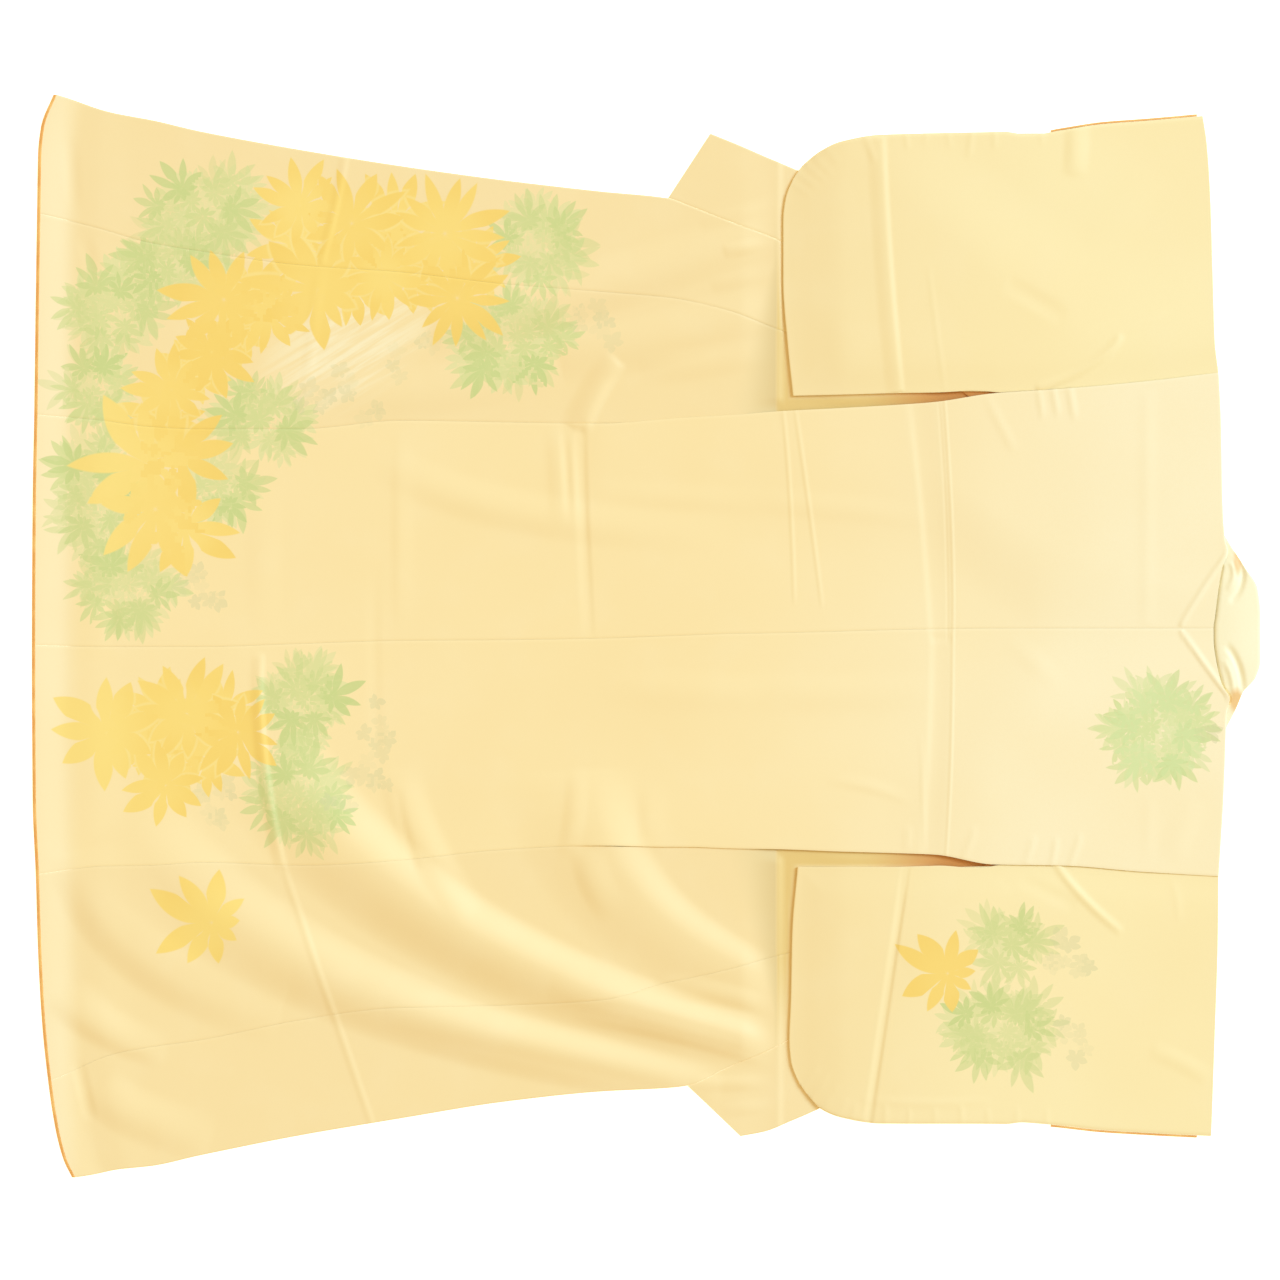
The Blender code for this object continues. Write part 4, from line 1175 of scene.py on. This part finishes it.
# %% [markdown]
# ## Backs
#
# Two widths of cloth meet in the centre seam and run from the hem over the shoulder. They carry the
# neckline, the long pressed creases and part of the pattern. At the shoulder the cloth turns over its
# own fold, so the last rows curve down round the edge of the layer below. At the neckline it is cut and
# sewn to the collar, so there the same rows turn down only a little.

# %% Backs
BACK_ROWS = ((-800, 3.2), (-760, 4.4), (-520, 3), (-470, 4.4), (-130, 2.4), (-60, 4.6), (172, 1.5),
             (232, 5), (340, 3), (374, 1.25), (405, 4), (500, 3), (570, 5), (640, 4), (676, 2.6))
TURN_RADIUS, TURN_ROWS = 1.4 * MM, 6
TURN_AT_NECK, TURN_MORE = 25, 125  # degrees, and how many more beside the neckline


def shoulder_turn(points):
    """Adds rows that turn the end of a panel down and back under itself, but hardly at the neckline."""
    end, before = points[-1], points[-2]
    last = np.radians(TURN_AT_NECK + TURN_MORE * ramp(np.abs(end[:, 1]), 90, 16))
    furthest = np.sin(np.minimum(last, math.pi / 2))
    forward = end[:, :2] - before[:, :2]
    forward = forward / np.linalg.norm(forward, axis=1)[:, None]
    turned = [points[:-1]]
    for share in np.linspace(0, 1, TURN_ROWS):
        angle = last * share
        row = end.copy()
        row[:, :2] += forward * TURN_RADIUS * (np.sin(angle) - furthest)[:, None]
        row[:, 2] -= TURN_RADIUS * (1 - np.cos(angle))
        turned.append(row[None])
    return np.concatenate(turned)


def make_back(side):
    sign = SIGN[side]
    rows = stations(BACK_ROWS, HEM / MM, SHOULDER / MM)
    seam, edge = SEAMS["centre"], SEAMS["side_" + side]
    points = panel_points(rows, columns_between(62), lambda x: seam(x) + sign * GAP / 2,
                          lambda x: edge(x) - sign * GAP / 2, back_height)
    points = shoulder_turn(points)
    piece = cloth_object("silk_back_" + side, points, SILK_BACK, True,
                         {"wash": wash_at(points[..., 0], points[..., 1])})
    return give_wall(piece)


backs = {side: make_back(side) for side in SIGN}
tell(backs.values())

# %% [markdown]
# ## Fronts
#
# Each front is opened outwards from its side seam. Above the seam's end it runs on beneath the back and
# the sleeve to the shoulder, where only a sliver of it shows through the slit beside the sleeve. That
# sliver has golden shade painted on it and then turns to the orange of the lining, painted deeper as in
# shade, so the cloth keeps both as attributes of its points, with the painted shade in front of the
# sleeve's foot.

# %% Fronts
FRONT_ROWS = ((-800, 3.2), (-760, 4), (-480, 2.6), (-340, 4), (-110, 2.6), (-30, 4), (190, 9))
SEAM_OPENS = 60 * MM  # length over which a front leaves the side seam for its edge under the back


def make_front(side):
    sign = SIGN[side]
    rows = stations(FRONT_ROWS, HEM / MM, SHOULDER / MM)
    sewn, overlap_seam = SEAMS["side_" + side], SEAMS["okumi_" + side]

    def inner(x):
        free = ease((x - SIDE_SEAM_END) / SEAM_OPENS)
        return (sewn(x) + sign * GAP / 2) * (1 - free) + sign * under_edge(x) * free

    points = panel_points(rows, columns_between(44), inner,
                          lambda x: overlap_seam(x) - sign * GAP / 2, front_height)
    piece = cloth_object("silk_front_" + side, points, SILK_SIDE, True, under_sleeve(points))
    return give_wall(piece)


fronts = {side: make_front(side) for side in SIGN}
tell(fronts.values())

# %% [markdown]
# ## Overlaps
#
# The narrow overlap panel widens each front from the hem to a point beside the collar. It shares its
# seam line with the front, so both use the same curve and the same relief.

# %% Overlaps
OKUMI_ROWS = ((-800, 3.2), (-760, 4), (-450, 2.4), (-350, 4), (60, 3), (180, 9))


def make_overlap(side):
    sign = SIGN[side]
    rows = stations(OKUMI_ROWS, HEM / MM, OKUMI_POINT / MM)
    seam, edge = SEAMS["okumi_" + side], SEAMS["edge_" + side]
    points = panel_points(rows, columns_between(36), lambda x: seam(x) + sign * GAP / 2,
                          lambda x: edge(x) - sign * GAP / 2, front_height, dips=(seam_dip, edge_dip))
    piece = cloth_object("silk_overlap_" + side, points, SILK_SIDE, True, under_sleeve(points))
    return give_wall(piece)


overlaps = {side: make_overlap(side) for side in SIGN}
tell(overlaps.values())

# %% [markdown]
# ## Collar ends
#
# The collar is a long doubled band. Its two flat ends are sewn to the overlaps and show beside the
# sleeves, and then run on under them.

# %% Collar ends
COLLAR_ROWS = ((0, 3), (190, 9))


def make_collar_end(side):
    sign = SIGN[side]
    start, end = COLLAR_EDGE[side][0][0], COLLAR_EDGE[side][-1][0]
    rows = stations(COLLAR_ROWS, start, end)[:, None]
    share, offset = columns_between(24).T[:, None, :]
    seam_y = SEAMS["edge_" + side](rows) + sign * GAP / 2
    free_x = table_line(COLLAR_EDGE[side], 1)(rows)
    free_y = table_line(COLLAR_EDGE[side], 2)(rows)
    width = np.hypot(free_x - rows, free_y - seam_y)
    share = share + offset / width
    x = rows * (1 - share) + free_x * share
    y = seam_y * (1 - share) + free_y * share
    z = collar_height(x, y) + CLOTH - seam_dip(share * width) - edge_dip((1 - share) * width)
    points = np.stack([x, y, z], axis=2)
    # The collar ends carry the same painted shade as the fronts under the sleeves.
    return give_wall(cloth_object("silk_collar_" + side, points, SILK_COLLAR, False, under_sleeve(points)))


collars = {side: make_collar_end(side) for side in SIGN}
tell(collars.values())

# %% [markdown]
# ## Collar round the neck
#
# Behind the neck the collar is folded in half along its length, the fold outside. Its section is a flat
# loop that opens into a soft roll at the middle, and the section is swept along the neckline. The upper
# layer dips down to the seam behind the neck. Beside the middle the roll turns over, which leaves two
# rounded hollows and lets the lining show.

# %% Collar round the neck
NECK_HOLLOWS = (
    (766, 108, 786, 72, 758, 44, 5, 7, 1, -2.8, 0.5),
    (758, 96, 768, 78, 754, 60, 5, 5, 1, 1.5, 0.5),
    (752, -12, 772, -34, 774, -74, 7, 6, 1, -2.8, 0.5),
    (748, -30, 762, -48, 762, -76, 5, 5, 1, 1.6, 0.5),
)
NECK_LINING = ((768, 98, 6, 20), (766, -84, 10, 17))  # where the lining shows: place, then half sizes
NECK_ROWS, NECK_WALL = 150, 0.9 * MM
NECK_DIP = 2.6 * MM


def make_neck_collar():
    keys = np.arange(len(NECK_SECTIONS))
    rows = np.linspace(0, keys[-1], NECK_ROWS)[:, None]
    at = {name: smooth_line(keys, [row[i] * MM for row in NECK_SECTIONS])(rows)
          for i, name in enumerate(NECK_COLUMNS)}
    flat = np.concatenate([[0, 0.03, 0.07, 0.13], np.linspace(0.2, 1, 17)])
    turns = np.linspace(0, 1, 9)[1:-1]
    share = np.concatenate([flat, np.ones(len(turns)), flat[::-1]])[None, :]
    turned = np.concatenate([flat * 0 + 1, turns[::-1], flat * 0])[None, :]
    behind = 1 - ramp(np.abs(at["seam_y"]), 86, 16)
    at["seam_x"] = at["seam_x"] * (1 - behind) + (shoulder_line(at["seam_y"]) + SEAM) * behind
    wide_x, wide_y = at["fold_x"] - at["seam_x"], at["fold_y"] - at["seam_y"]
    width = np.hypot(wide_x, wide_y)
    spread = np.maximum(at["puff"] * (0.72 + 0.28 * np.sin(math.pi * share)), SEAM)
    radius = (CLOTH + spread) / 2
    reach = share * (width - radius - CLOTH / 2) + radius * np.sin(math.pi * turned)
    centre = at["base"] + CLOTH / 2 + radius
    x = at["seam_x"] + wide_x / width * reach
    y = at["seam_y"] + wide_y / width * reach
    z = centre - radius * np.cos(math.pi * turned)
    outward = 0.45 * CLOTH
    z = z + np.where(turned > 0.5, outward, -outward) * (1 - np.sin(math.pi * turned))
    z = z + creases(NECK_HOLLOWS, x, y) * turned
    z = z - NECK_DIP * behind * turned * (1 - ramp(share * width, 0, 3))
    shown = 0
    for spot_x, spot_y, long, wide in NECK_LINING:
        away = ((x / MM - spot_x) / long) ** 2 + ((y / MM - spot_y) / wide) ** 2
        shown = shown + np.clip(1.3 - away, 0, 1)
    piece = cloth_object("silk_collar_neck", np.stack([x, y, z], axis=2), SILK_NECK, False,
                         {"lining": shown})
    return give_wall(piece, NECK_WALL)


neck = make_neck_collar()
tell([neck])

# %% [markdown]
# ## Sleeves
#
# A sleeve is a flat bag: one width of cloth folded at the shoulder, sewn along its foot and round the
# lower corner, and open at the hand and beside the body. The grid goes once round the bag, finely over
# the upper layer that shows and coarsely over the lower one, and its foot and fold are half round. The
# bag is pressed thinner along its foot and beside the body, where it throws only a narrow shadow.

# %% Sleeves
SLEEVE_CUT = (0.345, 1.12, 0.374)
BAG = 2 * CLOTH + SEAM  # height of both layers
EDGE_PRESS = 1.1 * MM  # how much less that is where the edges are pressed
FOOT_LIFT, FOOT_LIP = 0.4 * MM, 0.1 * MM  # at the body, and a third of it at the outer corner
RIM_INNER, RIM_OUTER = 0.2 * MM, 0.9 * MM  # how far the upper layer rounds down at its two sides
SLEEVE_WALL = 1.0 * MM
SLEEVE_STEPS = ((170, 2.6), (230, 3), (285, 1.8), (355, 3), (620, 4), (720, 2.6))


def sleeve_surface(side):
    """Where a sleeve lies: a patch between its foot, outer edge, shoulder fold and inner edge."""
    sign = SIGN[side]
    foot, outer, fold = (outline(SLEEVES[side][edge]) for edge in ("foot", "outer", "fold"))
    body_edge = SEAMS["side_" + side]
    inner_start, inner_end = foot(0)[0], fold(0)[0]

    def inner(u):
        x = inner_start + (inner_end - inner_start) * u
        return x, body_edge(x) + sign * (slit[side](x) + SEAM / 2)

    def at(u, v):
        corners = (inner(0), inner(1), outer(0), outer(1))
        point = []
        for axis in (0, 1):
            across = (1 - v) * inner(u)[axis] + v * outer(u)[axis]
            along = (1 - u) * foot(v)[axis] + u * fold(v)[axis]
            tilt = ((1 - u) * (1 - v) * corners[0][axis] + u * (1 - v) * corners[1][axis]
                    + (1 - u) * v * corners[2][axis] + u * v * corners[3][axis])
            point.append(across + along - tilt)
        at_opening = ease((point[0] - CUFF_START) / (25 * MM) + 2.4) * ease((v - 0.9) * 10)
        return point[0], point[1] - sign * (CUFF_ROLL + SEAM) * at_opening

    return at


def make_sleeve(side):
    at, base = sleeve_surface(side), sleeve_height(side)
    across = SLEEVE_CUT[0]
    foot_x, fold_x = SLEEVES[side]["foot"][0][0], SLEEVES[side]["fold"][0][0]
    places = stations(SLEEVE_STEPS, foot_x, fold_x)
    upper = (places - places[0]) / (places[-1] - places[0])
    lower = np.linspace(1, 0, 14)[1:-1]
    half_turn = np.linspace(0, math.pi, 7)[1:-1]
    u = np.concatenate([upper, np.ones(5), [1], lower, [0], np.zeros(5)])
    height = np.concatenate([np.ones(len(upper)), (1 + np.cos(half_turn)) / 2, [0], lower * 0, [0],
                             (1 - np.cos(half_turn)) / 2])
    bulge = np.concatenate([upper * 0, np.sin(half_turn), [0], lower * 0, [0], -np.sin(half_turn)])
    u, height, bulge = (np.append(a, a[0])[None, :] for a in (u, height, bulge))
    side_steps = np.array(EDGE_STEPS) * MM / across
    v = np.concatenate([side_steps, np.linspace(side_steps[-1], 1 - side_steps[-1], 82)[1:-1],
                        1 - side_steps[::-1]])[:, None]
    x, y = at(u + 0 * v, v + 0 * u)
    radius = BAG / 2
    x = x + (bulge + (0.5 - u) * 2 * np.isin(u, (0, 1))) * radius * 0.6
    from_foot, from_body = x - x.min(axis=1, keepdims=True), v * across
    inside = 0.3 + 0.7 * ramp(from_foot, 0, 80) * ramp(from_body, 0, 60)
    pressed = 1 - np.minimum(ramp(from_foot, 0, 40), ramp(from_body, 0, 40))
    puff = settle(lift(x, y) * inside + creases(SLEEVE_CREASES[side], x, y)) * height
    puff = puff - EDGE_PRESS * pressed * height
    borne = 1 - ease((np.abs(y) - bearing[side](x)) / BEARING_WIDTH)
    foot = FOOT_LIFT * (1 - ramp(from_foot, 0, 50)) + FOOT_LIP * (1 - ramp(from_foot, 0, 9))
    foot = foot * (1 - 0.65 * v) * borne
    rim = RIM_INNER * (1 - ramp(from_body, 0, 1.5)) + RIM_OUTER * (1 - ramp((1 - v) * across, 0, 4))
    z = base(x, y) + 0.1 * MM + BAG * height + puff + foot - rim * height
    piece = cloth_object("silk_sleeve_" + side, np.stack([x, y, z], axis=2), SILK_SLEEVE[side],
                         side == "right", {"wash": x * 0})
    joined = bmesh.new()
    joined.from_mesh(piece.data)
    bmesh.ops.remove_doubles(joined, verts=joined.verts[:], dist=0.02 * MM)
    joined.to_mesh(piece.data)
    joined.free()
    piece.data.shade_smooth()
    return give_wall(piece, SLEEVE_WALL)


sleeves = {side: make_sleeve(side) for side in SIGN}
tell(sleeves.values())

# %% [markdown]
# ## Rolled lining
#
# At the hem and at each sleeve opening the lining is turned out a few millimetres past the silk, as a
# soft padded roll. Its section is a low arch on a flat foot, swept along the edge.

# %% Rolled lining
ROLL_FOOT = 0.8 * MM
ROLL_WALL = 0.7 * MM
ROLL_POWER = 2.4  # how square the roll's arch is
HEM_ROLL_ROWS = 320


def roll_points(inner_xy, outer_xy, top):
    """A padded roll: full height beside the silk, rounding down to the floor at the outer edge."""
    across = np.concatenate([[0, 0.03, 0.1], np.linspace(0.2, 0.9, 7), [0.96, 1]])
    rise = (1 - np.clip(across - 0.1, 0, 1) ** ROLL_POWER / 0.9**ROLL_POWER) ** (1 / ROLL_POWER)
    rise[:3] = (0.55, 0.85, 1.0)  # it comes up steeply from under the silk
    place = np.stack([inner_xy * (1 - t) + outer_xy * t for t in across], axis=1)
    z = (top[:, None] - ROLL_FOOT) * rise[None, :] + ROLL_FOOT
    return np.concatenate([place, z[..., None]], axis=2)


def make_hem_lining():
    y = np.linspace(HEM_LINE[0][0], HEM_LINE[-1][0], HEM_ROLL_ROWS) * MM
    edge = np.stack([hem_line(y), y], axis=1)
    inner = edge + np.array([HEM_ROLL, 0])
    top = open_relief(inner[:, 0], y) + CLOTH + 0.2 * MM
    return give_wall(cloth_object("lining_hem", roll_points(inner, edge, top), SILK_LINING), ROLL_WALL)


def make_cuff_lining(side):
    sign = SIGN[side]
    x = stations(((500, 4),), CUFF_START / MM, CUFF_END / MM)
    outer = np.stack([x, table_line(SLEEVES[side]["outer"])(x)], axis=1)
    inner = outer - np.array([0, sign * CUFF_ROLL])
    points = roll_points(inner, outer, BAG + 0.4 * MM + 0 * x)
    return give_wall(cloth_object("lining_cuff_" + side, points, SILK_LINING), ROLL_WALL)


hem_roll = make_hem_lining()
cuff_rolls = {side: make_cuff_lining(side) for side in SIGN}
tell([hem_roll, *cuff_rolls.values()])

# %% [markdown]
# ## What stands for what
#
# Each cloth piece stands for the solid of the same name.

for side in SIGN:
    declare(backs[side], "back_" + side)
    declare(fronts[side], "front_" + side)
    declare(overlaps[side], "okumi_" + side)
    declare(collars[side], "collar_" + side)
    declare(sleeves[side], "sleeve_" + side)
    declare(cuff_rolls[side], "cuff_lining_" + side)
declare(neck, "collar_neck")
declare(hem_roll, "hem_lining")

# %% [markdown]
# ## Floor and light
#
# The photograph was cut out on white and lit evenly, with a little more light from the shoulder side:
# ridges are bright towards +X and shaded towards the hem. In the photograph the silk turns golden where
# it is in shade and pale where it is bright. So a warm world fills the shadows, and one soft and cooler
# lamp, low on the shoulder side, draws the folds. Together they are near white on the flat cloth. The
# floor glows, so that it stays white up to the cloth's edge as in the cut-out, but not below the cloth,
# where the glow would come up through the seams. A few straight lines a little inside the outline of
# body and sleeves tell the material where that is.

# %% Floor and light
WORLD_STRENGTH, WORLD_COLOUR = 0.79, (1.0, 0.79, 0.48, 1)
KEY_FROM, KEY_SOFTNESS, KEY_STRENGTH = (8.8, 5.3, 6.9), math.radians(28), 2.25
KEY_COLOUR = (0.55, 0.93, 1.4)
FLOOR_SIDE, FLOOR_GLOW = 14.0, 0.85


def make_floor():
    finish = Finish("floor_white", Roughness=0.9, Emission_Strength=FLOOR_GLOW)
    finish.feed(finish.shader.inputs["Base Color"], colour(250, 250, 250))
    along, aside = (finish.node("ShaderNodeSeparateXYZ", {}, {0: finish.place}, axis) for axis in (0, 1))
    aside = ShaderMaths.absolute(aside)
    body = along * -0.2 + 0.505
    sleeve = along.step(0.2, 0.201) * 0.6
    shoulder = 0.735 - aside.step(0.28, 0.3) * 0.017
    covered = (ShaderMaths.maximum(body, sleeve) - aside).step(0, 0.01)
    covered = covered * (shoulder - along).step(0, 0.001) * (along + 0.755).step(0, 0.01)
    finish.feed(finish.shader.inputs["Emission Color"], finish.mix(covered, (1, 1, 1, 1), (0, 0, 0, 1)))
    grid = bmesh.new()
    bmesh.ops.create_grid(grid, x_segments=1, y_segments=1, size=FLOOR_SIDE / 2)
    mesh = bpy.data.meshes.new("floor")
    grid.to_mesh(mesh)
    grid.free()
    mesh.materials.append(finish.material)
    floor = bpy.data.objects.new("floor", mesh)
    bpy.context.scene.collection.objects.link(floor)


def make_light():
    world = bpy.data.worlds.new("studio")
    bpy.context.scene.world = world
    world.use_nodes = True
    sky = world.node_tree.nodes["Background"]
    sky.inputs["Color"].default_value = WORLD_COLOUR
    sky.inputs["Strength"].default_value = WORLD_STRENGTH
    lamp = bpy.data.lights.new("key", "SUN")
    lamp.angle, lamp.energy, lamp.color = KEY_SOFTNESS, KEY_STRENGTH, KEY_COLOUR
    key = bpy.data.objects.new("key", lamp)
    key.location = KEY_FROM
    key.rotation_euler = (-Vector(KEY_FROM)).to_track_quat("-Z", "Y").to_euler()
    bpy.context.scene.collection.objects.link(key)


make_floor()
make_light()
bpy.context.scene.view_settings.view_transform = "Standard"
print("lamp", KEY_STRENGTH, "W/m2, world", WORLD_STRENGTH)
